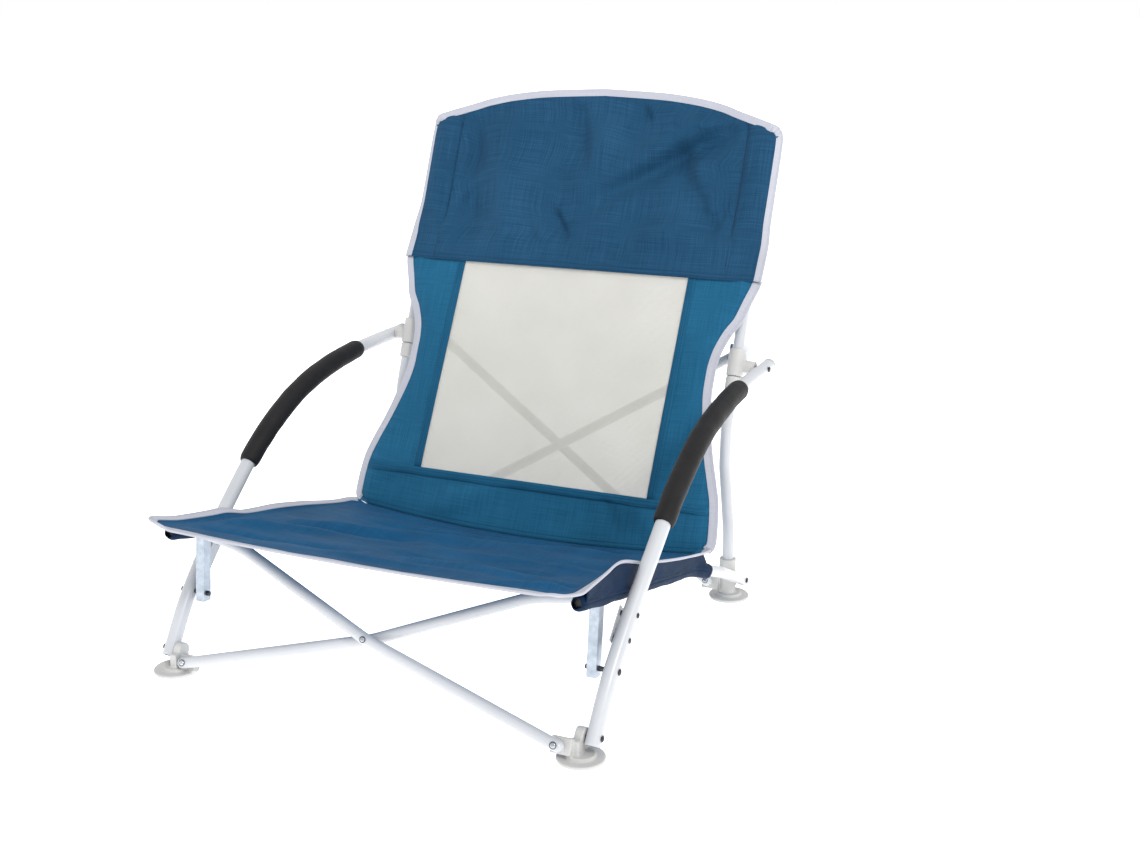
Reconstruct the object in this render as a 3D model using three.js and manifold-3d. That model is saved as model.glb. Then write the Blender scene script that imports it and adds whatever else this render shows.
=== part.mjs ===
// Low folding beach chair: a steel tube frame with an umbrella fold and a fabric sling.
// Millimetres. +X is the sitter's left, +Y points to the back, +Z is up.
// Left and right are named as seen from in front of the chair: left is -X, right is +X.
// Heights start at the floor. Depths start at the line through the two front feet,
// and the whole chair is moved at the end so that the middle of its footprint is the origin.

import * as THREE from "three";
import { mergeVertices } from "three/addons/utils/BufferGeometryUtils.js";
import Module from "manifold-3d";

const wasm = await Module();
wasm.setup();

// ---------- driving dimensions ----------

const LEAN = THREE.MathUtils.degToRad(22.5);
const BACK_SHIFT = 334.7;
const GAP = 0.3;
const WALL = 1.2;
const PIN_RADIUS = 3;
const PIN_SIDES = 8;
const TUBE_SIDES = 10;

const UPRIGHT_RADIUS = 8;
const UPRIGHT_X = 259;
const UPRIGHT_FOOT_X = 273;
const RAIL_RADIUS = 7.5;
const RAIL_X = 275;
const RAIL_TIP_X = 271;
const RAIL_FOOT_X = 293;
const ARM_RADIUS = 9.5;
const ARM_X = 295.3;
const LEG_X = 288;
const GRIP_RADIUS = 14;
const BAR_RADIUS = 7;
const BAR_OFFSET = 8;

const FOOT_RADIUS = 28;
const FOOT_THICKNESS = 4;
const FOOT_SIDES = 24;
const FOOT_X = 276;
const REAR_FOOT_Y = 514;
const FRONT_FOOT_Y = 0;

const UPRIGHT_TOP = new THREE.Vector3(UPRIGHT_X, 694.9, 630);
const RAIL_PIVOT = { y: 516, z: 27 };
const LEG_PIVOT = { y: 8, z: 25 };
const ARM_PIVOT = { y: 572, z: 318 };
const STRUT_PIVOT = { y: 52, z: 86 };

const REAR_BAR_BASE = { y: 485, z: 30 };
const REAR_BAR_X = 250;
const REAR_BAR_RISE = 320;
const FRONT_BAR_BASE = { y: -15, z: 20 };
const FRONT_BAR_X = 255.5;
const FRONT_CROSS_RISE = 72;

const SLING_THICKNESS = 2.4;
const MESH_THICKNESS = 1.6;

// ---------- materials ----------

const finish = (color, roughness, metalness) =>
  new THREE.MeshStandardMaterial({ color, roughness, metalness });
const whitePaint = finish(0xdedfe3, 0.35, 0.1);
const whitePlastic = finish(0xd9d8d4, 0.5, 0);
const zinc = finish(0x9fa6ad, 0.4, 0.8);
const darkZinc = finish(0x3c3f44, 0.45, 0.7);
const blackFoam = finish(0x1e1e21, 0.9, 0);
const blueFabric = finish(0x266c94, 0.85, 0);
const meshFabric = finish(0xd6d5cf, 0.8, 0);

// ---------- directions and places ----------

const ACROSS = new THREE.Vector3(1, 0, 0);
const UP_LEAN = new THREE.Vector3(0, Math.sin(LEAN), Math.cos(LEAN));
const FORWARD_LEAN = new THREE.Vector3(0, -Math.cos(LEAN), Math.sin(LEAN));

const at = (x, y, z) => new THREE.Vector3(x, y, z);

// A point in a plane that leans with the uprights: across, up along the lean, and forward of the plane.
function leaning(base, x, rise, forward = 0) {
  return at(x, base.y, base.z).addScaledVector(UP_LEAN, rise).addScaledVector(FORWARD_LEAN, forward);
}

// The point on an upright's straight upper part at a given height.
function onUpright(side, z) {
  const rise = (z - UPRIGHT_TOP.z) / UP_LEAN.z;
  return at(side * UPRIGHT_X, UPRIGHT_TOP.y, UPRIGHT_TOP.z).addScaledVector(UP_LEAN, rise);
}

// ---------- solids ----------

function toSolid(geometry) {
  const bare = geometry.clone();
  bare.deleteAttribute("normal");
  bare.deleteAttribute("uv");
  const merged = mergeVertices(bare, 1e-3);
  const vertProperties = new Float32Array(merged.attributes.position.array);
  const triVerts = new Uint32Array(merged.index.array);
  return new wasm.Manifold(new wasm.Mesh({ numProp: 3, vertProperties, triVerts }));
}

function toGeometry(solid) {
  const mesh = solid.getMesh();
  const geometry = new THREE.BufferGeometry();
  geometry.setAttribute("position", new THREE.BufferAttribute(mesh.vertProperties, 3));
  geometry.setIndex(new THREE.BufferAttribute(mesh.triVerts, 1));
  geometry.computeVertexNormals();
  return geometry;
}

function cut(geometry, ...tools) {
  return toGeometry(tools.reduce((solid, tool) => solid.subtract(toSolid(tool)), toSolid(geometry)));
}

function join(...geometries) {
  return toGeometry(geometries.map(toSolid).reduce((whole, solid) => whole.add(solid)));
}

function circle(radius, sides) {
  const corners = [];
  for (let i = 0; i < sides; i += 1) {
    const angle = (2 * Math.PI * i) / sides;
    corners.push(new THREE.Vector2(radius * Math.cos(angle), radius * Math.sin(angle)));
  }
  return new THREE.Shape(corners);
}

// A hollow tube along a path, open at both ends.
function tube(path, steps, outerRadius, innerRadius, sides = TUBE_SIDES) {
  const ring = circle(outerRadius, sides);
  ring.holes.push(circle(innerRadius, sides));
  return new THREE.ExtrudeGeometry(ring, { steps, extrudePath: path, bevelEnabled: false });
}

// Straight runs between corners, with a round bend at each corner.
function bentPath(corners, bendRadius) {
  const path = new THREE.CurvePath();
  const last = corners.length - 1;
  let start = corners[0];
  for (let i = 1; i < last; i += 1) {
    const before = corners[i].clone().sub(corners[i - 1]).normalize();
    const after = corners[i + 1].clone().sub(corners[i]).normalize();
    const setback = bendRadius * Math.tan(before.angleTo(after) / 2);
    const bendStart = corners[i].clone().addScaledVector(before, -setback);
    const bendEnd = corners[i].clone().addScaledVector(after, setback);
    path.add(new THREE.LineCurve3(start, bendStart));
    path.add(new THREE.QuadraticBezierCurve3(bendStart, corners[i], bendEnd));
    start = bendEnd;
  }
  path.add(new THREE.LineCurve3(start, corners[last]));
  return path;
}

// A solid rod from one point to another.
function rod(start, end, radius, sides = PIN_SIDES) {
  const axis = end.clone().sub(start);
  const geometry = new THREE.CylinderGeometry(radius, radius, axis.length(), sides);
  const turn = new THREE.Quaternion().setFromUnitVectors(at(0, 1, 0), axis.clone().normalize());
  geometry.applyQuaternion(turn);
  const middle = start.clone().add(end).multiplyScalar(0.5);
  geometry.translate(middle.x, middle.y, middle.z);
  return geometry;
}

// A drill that leaves a running gap round a pin of the usual radius.
function drill(start, end, pinRadius = PIN_RADIUS) {
  return rod(start, end, (pinRadius + GAP) / Math.cos(Math.PI / PIN_SIDES), PIN_SIDES);
}

// A block whose edges run across, along the lean, and forward of the lean.
function leaningBlock(base, x, rise, forward) {
  const size = [x[1] - x[0], rise[1] - rise[0], forward[1] - forward[0]];
  const geometry = new THREE.BoxGeometry(...size);
  geometry.applyMatrix4(new THREE.Matrix4().makeBasis(ACROSS, UP_LEAN, FORWARD_LEAN));
  const middle = leaning(base, (x[0] + x[1]) / 2, (rise[0] + rise[1]) / 2, (forward[0] + forward[1]) / 2);
  geometry.translate(middle.x, middle.y, middle.z);
  return geometry;
}

function block(x, y, z) {
  const geometry = new THREE.BoxGeometry(x[1] - x[0], y[1] - y[0], z[1] - z[0]);
  geometry.translate((x[0] + x[1]) / 2, (y[0] + y[1]) / 2, (z[0] + z[1]) / 2);
  return geometry;
}

// The two X values of a stretch, lowest first, mirrored for the left side.
const mirrored = (side, low, high) => (side > 0 ? [low, high] : [-high, -low]);

// ---------- scene graph ----------

const chair = new THREE.Group();
chair.position.y = -BACK_SHIFT;

function add(name, geometry, material) {
  const mesh = new THREE.Mesh(geometry, material);
  mesh.name = name;
  chair.add(mesh);
  return mesh;
}

// A turned piece: profile points of (radius, height) along a direction from a start point.
function addTurned(name, profile, start, direction, material, sides = 12) {
  const outline = profile.map(([radius, height]) => new THREE.Vector2(radius, height));
  const mesh = add(name, new THREE.LatheGeometry(outline, sides), material);
  mesh.position.copy(start);
  mesh.quaternion.setFromUnitVectors(at(0, 1, 0), direction);
  return mesh;
}

// A pin with a domed head at its far end.
function addPin(name, start, end, material, headRadius = 5.5, headHeight = 2.5) {
  const axis = end.clone().sub(start);
  const length = axis.length();
  const profile = [
    [0, 0],
    [PIN_RADIUS, 0],
    [PIN_RADIUS, length],
    [headRadius, length],
    [headRadius, length + headHeight * 0.4],
    [headRadius * 0.6, length + headHeight],
    [0, length + headHeight],
  ];
  return addTurned(name, profile, start, axis.normalize(), material, PIN_SIDES);
}

const sideName = (side) => (side > 0 ? "right" : "left");

// ---------- uprights, rear feet and collars ----------

const STOP_BOTTOM = 286;
const STOP_TOP = 305;
const SLIDER_TOP = 341;
const COLLAR_RADIUS = 11;
const COLLAR_SIDES = 12;
const COLLAR_BORE = (UPRIGHT_RADIUS + GAP) / Math.cos(Math.PI / COLLAR_SIDES);

function addUpright(side) {
  const corners = [
    at(side * UPRIGHT_FOOT_X, REAR_FOOT_Y, 38.5),
    at(side * UPRIGHT_FOOT_X, REAR_FOOT_Y, 95),
    at(side * UPRIGHT_X, REAR_FOOT_Y + 16, 185),
    onUpright(side, 240),
    onUpright(side, UPRIGHT_TOP.z),
  ];
  const path = bentPath(corners, 90);
  add(`upright_${sideName(side)}`, tube(path, 13, UPRIGHT_RADIUS, UPRIGHT_RADIUS - WALL), whitePaint);
  const capProfile = [
    [0, -12],
    [UPRIGHT_RADIUS - WALL - 0.5, -12],
    [UPRIGHT_RADIUS - WALL - 0.5, GAP],
    [UPRIGHT_RADIUS, GAP],
    [UPRIGHT_RADIUS * 0.7, 3],
    [0, 4],
  ];
  const top = onUpright(side, UPRIGHT_TOP.z);
  addTurned(`upright_cap_${sideName(side)}`, capProfile, top, UP_LEAN, whitePlastic);
}

function addRearFoot(side, barForward) {
  const post = { x: side * UPRIGHT_FOOT_X, y: REAR_FOOT_Y };
  const bossEnds = [side * 262, side * (RAIL_FOOT_X - RAIL_RADIUS - GAP)];
  const lugTop = barForward - BAR_RADIUS - GAP;
  const body = join(
    rod(
      at(side * FOOT_X, REAR_FOOT_Y, 0),
      at(side * FOOT_X, REAR_FOOT_Y, FOOT_THICKNESS),
      FOOT_RADIUS,
      FOOT_SIDES,
    ),
    rod(at(post.x, post.y, 2), at(post.x, post.y, 57), 11.5, COLLAR_SIDES),
    rod(
      at(bossEnds[0], RAIL_PIVOT.y, RAIL_PIVOT.z),
      at(bossEnds[1], RAIL_PIVOT.y, RAIL_PIVOT.z),
      10,
      COLLAR_SIDES,
    ),
    leaningBlock(REAR_BAR_BASE, mirrored(side, 241, 264), [-10, 10], [-29, lugTop]),
  );
  const foot = cut(
    body,
    rod(at(post.x, post.y, 38), at(post.x, post.y, 60), COLLAR_BORE, COLLAR_SIDES),
    drill(at(side * 264, RAIL_PIVOT.y, RAIL_PIVOT.z), at(side * 290, RAIL_PIVOT.y, RAIL_PIVOT.z)),
    drill(
      leaning(REAR_BAR_BASE, side * REAR_BAR_X, 0, lugTop - 10),
      leaning(REAR_BAR_BASE, side * REAR_BAR_X, 0, 20),
    ),
  );
  add(`rear_foot_${sideName(side)}`, foot, whitePlastic);
  addPin(
    `rear_bar_bolt_${sideName(side)}`,
    leaning(REAR_BAR_BASE, side * REAR_BAR_X, 0, lugTop - 9),
    leaning(REAR_BAR_BASE, side * REAR_BAR_X, 0, barForward + BAR_RADIUS + GAP),
    darkZinc,
  );
  addPin(
    `rail_bolt_${sideName(side)}`,
    at(side * 265, RAIL_PIVOT.y, RAIL_PIVOT.z),
    at(side * (RAIL_FOOT_X + RAIL_RADIUS + GAP), RAIL_PIVOT.y, RAIL_PIVOT.z),
    darkZinc,
  );
}

function addStopCollar(side) {
  const start = onUpright(side, STOP_BOTTOM);
  const end = onUpright(side, STOP_TOP);
  const length = end.distanceTo(start);
  const profile = [
    [COLLAR_BORE, 0],
    [COLLAR_RADIUS - 0.8, 0],
    [COLLAR_RADIUS, 1.5],
    [COLLAR_RADIUS, length - 1.5],
    [COLLAR_RADIUS - 0.8, length],
    [COLLAR_BORE, length],
    [COLLAR_BORE, 0],
  ];
  addTurned(`stop_collar_${sideName(side)}`, profile, start, UP_LEAN, whitePlastic);
}

// The sliding collar: a sleeve on the upright, an outboard ear for the arm and a zinc fork for the rear bar.
function addSlider(side, barForward) {
  const bottom = onUpright(side, STOP_TOP + 1);
  const top = onUpright(side, SLIDER_TOP);
  const earEnd = ARM_X - ARM_RADIUS - GAP;
  const body = join(
    rod(bottom, top, COLLAR_RADIUS + 0.6, COLLAR_SIDES),
    rod(
      at(side * UPRIGHT_X, ARM_PIVOT.y, ARM_PIVOT.z),
      at(side * earEnd, ARM_PIVOT.y, ARM_PIVOT.z),
      9,
      COLLAR_SIDES,
    ),
  );
  const [boreBottom, boreTop] = [onUpright(side, STOP_TOP - 10), onUpright(side, SLIDER_TOP + 10)];
  const bore = rod(boreBottom, boreTop, COLLAR_BORE, COLLAR_SIDES);
  const armHole = drill(
    at(side * (UPRIGHT_X + UPRIGHT_RADIUS), ARM_PIVOT.y, ARM_PIVOT.z),
    at(side * (earEnd + 5), ARM_PIVOT.y, ARM_PIVOT.z),
  );
  const forkHole = leaningBlock(REAR_BAR_BASE, mirrored(side, 246, 252), [298, 342], [20, 40]);
  add(`slider_collar_${sideName(side)}`, cut(body, bore, armHole, forkHole), whitePlastic);
  addPin(
    `arm_bolt_${sideName(side)}`,
    at(side * (UPRIGHT_X + UPRIGHT_RADIUS + 1), ARM_PIVOT.y, ARM_PIVOT.z),
    at(side * (ARM_X + ARM_RADIUS + GAP), ARM_PIVOT.y, ARM_PIVOT.z),
    darkZinc,
  );
  addSliderFork(side, barForward);
}

function addSliderFork(side, barForward) {
  const cheek = 2.4;
  const nearSide = barForward - BAR_RADIUS - 0.6;
  const farSide = barForward + BAR_RADIUS + 0.6;
  const height = [REAR_BAR_RISE - 12, REAR_BAR_RISE + 12];
  const body = join(
    leaningBlock(REAR_BAR_BASE, mirrored(side, 241, 263), height, [nearSide - cheek, nearSide]),
    leaningBlock(REAR_BAR_BASE, mirrored(side, 241, 263), height, [farSide, farSide + cheek]),
    leaningBlock(REAR_BAR_BASE, mirrored(side, 260, 263), height, [nearSide - cheek, 26]),
  );
  const clearCollar = rod(onUpright(side, 280), onUpright(side, 360), COLLAR_RADIUS + 1.3, COLLAR_SIDES);
  const pinStart = leaning(REAR_BAR_BASE, side * REAR_BAR_X, REAR_BAR_RISE, nearSide - cheek - 3);
  const pinEnd = leaning(REAR_BAR_BASE, side * REAR_BAR_X, REAR_BAR_RISE, farSide + cheek + GAP);
  const hole = drill(pinStart, pinEnd.clone().addScaledVector(FORWARD_LEAN, 5));
  add(`slider_fork_${sideName(side)}`, cut(body, clearCollar, hole), zinc);
  addPin(`slider_fork_pin_${sideName(side)}`, pinStart, pinEnd, darkZinc, 5, 2);
}

// ---------- rear crossed bars ----------

// The bar whose foot is on the given side; it leans across to the collar on the other side.
function addRearBar(side, letter, forward) {
  const low = leaning(REAR_BAR_BASE, side * REAR_BAR_X, 0, forward);
  const high = leaning(REAR_BAR_BASE, -side * REAR_BAR_X, REAR_BAR_RISE, forward);
  const along = high.clone().sub(low).normalize();
  const overrun = 6.5;
  const path = new THREE.LineCurve3(
    low.clone().addScaledVector(along, -overrun),
    high.clone().addScaledVector(along, overrun),
  );
  const through = (point) => drill(
    point.clone().addScaledVector(FORWARD_LEAN, -12),
    point.clone().addScaledVector(FORWARD_LEAN, 12),
  );
  const middle = low.clone().add(high).multiplyScalar(0.5);
  const bar = cut(tube(path, 1, BAR_RADIUS, BAR_RADIUS - WALL), through(low), through(high), through(middle));
  add(`rear_bar_${letter}`, bar, whitePaint);
}

function addRearCrossBolt() {
  const rise = REAR_BAR_RISE / 2;
  const reach = BAR_OFFSET + BAR_RADIUS + GAP;
  addPin(
    "rear_cross_bolt",
    leaning(REAR_BAR_BASE, 0, rise, -reach - 5),
    leaning(REAR_BAR_BASE, 0, rise, reach),
    darkZinc,
  );
  const bore = (PIN_RADIUS + 0.1) / Math.cos(Math.PI / PIN_SIDES);
  const nut = [[bore, 0], [5.5, 0], [5.5, 3.5], [bore, 3.5], [bore, 0]];
  const nutStart = leaning(REAR_BAR_BASE, 0, rise, -reach);
  addTurned("rear_cross_nut", nut, nutStart, FORWARD_LEAN.clone().negate(), darkZinc, PIN_SIDES);
}

// ---------- arms with their front legs ----------

const ARM_LINE = [
  [3, 16], [45, 77], [100, 134], [160, 186], [230, 240],
  [311, 282], [390, 303], [480, 313], [602, 316],
];
const GRIP_FROM_Y = 190;
const GRIP_TO_Y = 480;
const BRACKET_RIVETS = [{ y: 79, z: 113 }, { y: 101, z: 135 }];

// The legs lean in a little below the grips.
const armX = (y) => LEG_X + (ARM_X - LEG_X) * Math.min(y / GRIP_FROM_Y, 1);

const armPath = (side) => new THREE.CatmullRomCurve3(ARM_LINE.map(([y, z]) => at(side * armX(y), y, z)));

// The stretch of a path between two fractions of its length.
class Stretch extends THREE.Curve {
  constructor(path, from, to) {
    super();
    this.path = path;
    this.from = from;
    this.to = to;
  }

  getPoint(t, target) {
    return this.path.getPointAt(this.from + (this.to - this.from) * t, target);
  }
}

// The fraction of the arm's length at which it reaches a given depth.
function fractionAtDepth(path, y) {
  let low = 0;
  let high = 1;
  while (high - low > 1e-4) {
    const middle = (low + high) / 2;
    if (path.getPointAt(middle).y < y) low = middle;
    else high = middle;
  }
  return low;
}

const acrossArm = (side, place, inner, outer) => [
  at(side * inner, place.y, place.z),
  at(side * outer, place.y, place.z),
];

function addArm(side) {
  const path = armPath(side);
  const name = sideName(side);
  const reach = ARM_RADIUS + 3;
  const holes = [LEG_PIVOT, ARM_PIVOT, STRUT_PIVOT, ...BRACKET_RIVETS].map(
    (place) => drill(...acrossArm(side, place, armX(place.y) - reach, armX(place.y) + reach)),
  );
  add(`arm_tube_${name}`, cut(tube(path, 16, ARM_RADIUS, ARM_RADIUS - WALL), ...holes), whitePaint);

  const grip = new Stretch(path, fractionAtDepth(path, GRIP_FROM_Y), fractionAtDepth(path, GRIP_TO_Y));
  const gripBore = (ARM_RADIUS + 2 * GAP) / Math.cos(Math.PI / 12);
  add(`foam_grip_${name}`, tube(grip, 8, GRIP_RADIUS, gripBore, 12), blackFoam);

  const plugProfile = [
    [0, -10],
    [ARM_RADIUS - WALL - 0.7, -10],
    [ARM_RADIUS - WALL - 0.7, GAP],
    [ARM_RADIUS, GAP],
    [ARM_RADIUS, 2.5],
    [3.4, 3.5],
    [3.4, -6],
    [0, -6],
  ];
  addTurned(`arm_plug_${name}`, plugProfile, path.getPointAt(1), path.getTangentAt(1), whitePlastic);
}

// A thin plate on the inner side of the leg, held by two rivets.
function addLegBracket(side) {
  const name = sideName(side);
  const [low, high] = BRACKET_RIVETS;
  const outer = armX(low.y) - ARM_RADIUS - 2 * GAP;
  const inner = outer - 1.4;
  const middle = { y: (low.y + high.y) / 2, z: (low.z + high.z) / 2 };
  const plate = block(mirrored(side, inner, outer), [-22, 22], [-8, 8]);
  plate.rotateX(Math.atan2(high.z - low.z, high.y - low.y));
  plate.translate(0, middle.y, middle.z);
  const holes = BRACKET_RIVETS.map((place) => drill(...acrossArm(side, place, inner - 2, outer + 2)));
  add(`leg_bracket_${name}`, cut(plate, ...holes), whitePaint);
  BRACKET_RIVETS.forEach((place, index) => {
    const [start, end] = acrossArm(side, place, inner, armX(place.y) + ARM_RADIUS + GAP);
    addPin(`bracket_rivet_${index + 1}_${name}`, start, end, darkZinc, 4.6, 2);
  });
}

// A zinc channel that stands on the leg and carries the seat rail from below.
const STRUT_X = [262.5, 274.5];
const STRUT_TOP = { y: 60, z: 160.3 };

function addStrut(side) {
  const name = sideName(side);
  const rise = Math.hypot(STRUT_TOP.y - STRUT_PIVOT.y, STRUT_TOP.z - STRUT_PIVOT.z);
  const tilt = Math.atan2(STRUT_TOP.y - STRUT_PIVOT.y, STRUT_TOP.z - STRUT_PIVOT.z);
  const channel = cut(
    block(mirrored(side, ...STRUT_X), [-7, 7], [-10, rise]),
    block(mirrored(side, STRUT_X[0] + 1.8, STRUT_X[1] - 1.8), [-5.2, 10], [-12, rise - 2]),
  );
  channel.rotateX(-tilt);
  channel.translate(0, STRUT_PIVOT.y, STRUT_PIVOT.z);
  const hole = drill(...acrossArm(side, STRUT_PIVOT, 255, 285));
  add(`rail_strut_${name}`, cut(channel, hole), zinc);
  const [start, end] = acrossArm(side, STRUT_PIVOT, STRUT_X[0] - 4, armX(STRUT_PIVOT.y) + ARM_RADIUS + GAP);
  addPin(`strut_bolt_${name}`, start, end, darkZinc);
}

// ---------- front feet and crossed bars ----------

function addFrontFoot(side, barForward) {
  const name = sideName(side);
  const hubEnd = armX(LEG_PIVOT.y) - ARM_RADIUS - GAP;
  const lugTop = barForward - BAR_RADIUS - GAP;
  const body = join(
    rod(
      at(side * FOOT_X, FRONT_FOOT_Y, 0),
      at(side * FOOT_X, FRONT_FOOT_Y, FOOT_THICKNESS),
      FOOT_RADIUS,
      FOOT_SIDES,
    ),
    block(mirrored(side, 268, 278), [-10, 16], [2, 25]),
    rod(
      at(side * 268, LEG_PIVOT.y, LEG_PIVOT.z),
      at(side * hubEnd, LEG_PIVOT.y, LEG_PIVOT.z),
      9.5,
      COLLAR_SIDES,
    ),
    leaningBlock(FRONT_BAR_BASE, mirrored(side, 246, 271), [-10, 9], [lugTop - 9, lugTop]),
    leaningBlock(FRONT_BAR_BASE, mirrored(side, 266, 271), [-10, 9], [-22, lugTop]),
  );
  const barHole = drill(
    leaning(FRONT_BAR_BASE, side * FRONT_BAR_X, 0, lugTop - 12),
    leaning(FRONT_BAR_BASE, side * FRONT_BAR_X, 0, lugTop + 4),
  );
  const legHole = drill(...acrossArm(side, LEG_PIVOT, 262, 292));
  add(`front_foot_${name}`, cut(body, barHole, legHole), whitePlastic);
  addPin(
    `front_bar_bolt_${name}`,
    leaning(FRONT_BAR_BASE, side * FRONT_BAR_X, 0, lugTop - 9),
    leaning(FRONT_BAR_BASE, side * FRONT_BAR_X, 0, barForward + BAR_RADIUS + GAP),
    darkZinc,
    6,
  );
  const [start, end] = acrossArm(side, LEG_PIVOT, 270, armX(LEG_PIVOT.y) + ARM_RADIUS + GAP);
  addPin(`leg_bolt_${name}`, start, end, darkZinc);
}

// The bar whose foot is on the given side; it rises in two gentle bends to the far seat rail.
function addFrontBar(side, letter, forward) {
  const place = (x, rise) => leaning(FRONT_BAR_BASE, side * x, rise, forward);
  const corners = [
    place(FRONT_BAR_X + 9, -2.5),
    place(0, FRONT_CROSS_RISE),
    place(-194, 153),
    place(-254, 162),
  ];
  const low = place(FRONT_BAR_X, 0);
  const through = (point) => drill(
    point.clone().addScaledVector(FORWARD_LEAN, -12),
    point.clone().addScaledVector(FORWARD_LEAN, 12),
  );
  const path = bentPath(corners, 160);
  const bar = cut(tube(path, 9, BAR_RADIUS, BAR_RADIUS - WALL), through(low), through(corners[1]));
  add(`front_bar_${letter}`, bar, whitePaint);
}

// The front crossing: a bolt seated in the forward bar and its nut on the rearward bar.
function addFrontCrossBolt() {
  const face = BAR_OFFSET + BAR_RADIUS + GAP;
  const inner = BAR_OFFSET - BAR_RADIUS;
  addPin(
    "front_cross_bolt",
    leaning(FRONT_BAR_BASE, 0, FRONT_CROSS_RISE, inner),
    leaning(FRONT_BAR_BASE, 0, FRONT_CROSS_RISE, face),
    darkZinc,
  );
  addPin(
    "front_cross_nut",
    leaning(FRONT_BAR_BASE, 0, FRONT_CROSS_RISE, -inner),
    leaning(FRONT_BAR_BASE, 0, FRONT_CROSS_RISE, -face),
    darkZinc,
    5,
  );
}

// ---------- seat rails ----------

const RAIL_TIP = { y: 8, z: 181.4 };
const RAIL_BEND = { y: 355, z: 98 };

function addRail(side) {
  const name = sideName(side);
  const corners = [
    at(side * RAIL_TIP_X, RAIL_TIP.y, RAIL_TIP.z),
    at(side * RAIL_X, RAIL_BEND.y, RAIL_BEND.z),
    at(side * RAIL_FOOT_X, 424, 71),
    at(side * RAIL_FOOT_X, RAIL_PIVOT.y + 15, RAIL_PIVOT.z - 7.2),
  ];
  const path = bentPath(corners, 60);
  const hole = drill(
    at(side * (RAIL_FOOT_X - 12), RAIL_PIVOT.y, RAIL_PIVOT.z),
    at(side * (RAIL_FOOT_X + 12), RAIL_PIVOT.y, RAIL_PIVOT.z),
  );
  add(`seat_rail_${name}`, cut(tube(path, 14, RAIL_RADIUS, RAIL_RADIUS - WALL), hole), whitePaint);
  const plugProfile = [
    [0, -10],
    [RAIL_RADIUS - WALL - 0.5, -10],
    [RAIL_RADIUS - WALL - 0.5, GAP],
    [RAIL_RADIUS, GAP],
    [RAIL_RADIUS, 2],
    [RAIL_RADIUS * 0.6, 4],
    [0, 4],
  ];
  const outward = corners[0].clone().sub(corners[1]).normalize();
  addTurned(`rail_plug_${name}`, plugProfile, corners[0], outward, blackFoam);
}

// ---------- sling ----------

// A sheet with thickness: stations of [y, z, halfWidth] along its length,
// its face normal leaning off the line.
function sheet(stations, thickness) {
  const rows = stations.length - 1;
  const geometry = new THREE.BoxGeometry(2, 1, 1, 4, 1, rows);
  const places = geometry.attributes.position;
  for (let i = 0; i < places.count; i += 1) {
    const row = Math.round((places.getZ(i) + 0.5) * rows);
    const [y, z, halfWidth] = stations[row];
    const before = stations[Math.max(row - 1, 0)];
    const after = stations[Math.min(row + 1, rows)];
    const run = new THREE.Vector2(after[0] - before[0], after[1] - before[1]).normalize();
    const lift = -places.getY(i) * thickness;
    places.setXYZ(i, places.getX(i) * halfWidth, y - run.y * lift, z + run.x * lift);
  }
  return geometry;
}

const BACK_STATIONS = [
  [421, 94, 276],
  [427, 110, 274],
  [445, 152, 268],
  [485, 228, 244],
  [520, 293, 234],
  [550, 350, 240],
  [575, 395, 258],
  [598, 438, 270],
  [644, 540, 272],
  [682, 628, 274],
  [694, 657, 205],
  [700.5, 674, 110],
];
const SEAT_STATIONS = [
  [-32, 201, 280],
  [60, 179, 282],
  [240, 135.5, 282],
  [350, 109, 282],
  [416, 92.5, 278],
];
const WINDOW = { low: { y: 445, z: 152 }, high: { y: 598, z: 438 }, halfWidth: 177 };

// A box through the back panel, set out on the window's own slope.
function windowBlock(margin, thickness) {
  const run = { y: WINDOW.high.y - WINDOW.low.y, z: WINDOW.high.z - WINDOW.low.z };
  const length = Math.hypot(run.y, run.z);
  const geometry = new THREE.BoxGeometry(2 * (WINDOW.halfWidth - margin), thickness, length - 2 * margin);
  geometry.rotateX(-Math.atan2(run.y, run.z));
  geometry.translate(0, (WINDOW.low.y + WINDOW.high.y) / 2, (WINDOW.low.z + WINDOW.high.z) / 2);
  return geometry;
}

function addSling() {
  add("back_sling", cut(sheet(BACK_STATIONS, SLING_THICKNESS), windowBlock(0, 60)), blueFabric);
  add("back_mesh", windowBlock(GAP, MESH_THICKNESS), meshFabric);
  add("seat_sling", sheet(SEAT_STATIONS, SLING_THICKNESS), blueFabric);
}

// ---------- assembly ----------

// The rear bars' feet: bar a stands on the left in the forward plane, bar b on the right behind it.
// The front bars' feet: bar a stands on the left in the rearward plane, bar b on the right before it.
for (const side of [-1, 1]) {
  const rearForward = side < 0 ? BAR_OFFSET : -BAR_OFFSET;
  const frontForward = side < 0 ? -BAR_OFFSET : BAR_OFFSET;
  addUpright(side);
  addRearFoot(side, rearForward);
  addStopCollar(side);
  addSlider(side, -rearForward);
  addRearBar(side, side < 0 ? "a" : "b", rearForward);
  addArm(side);
  addLegBracket(side);
  addStrut(side);
  addFrontFoot(side, frontForward);
  addFrontBar(side, side < 0 ? "a" : "b", frontForward);
  addRail(side);
}
addRearCrossBolt();
addFrontCrossBolt();
addSling();

export default chair;
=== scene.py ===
"""Looks of a low folding beach chair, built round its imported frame.

The shapes are worked out in millimetres in the chair's own frame: X across, Y from the line of the
front feet to the back, Z up from the floor. to_row() turns them into the frame's metres.
"""
import itertools
import math

import bpy
import numpy as np
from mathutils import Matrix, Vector, noise


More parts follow.
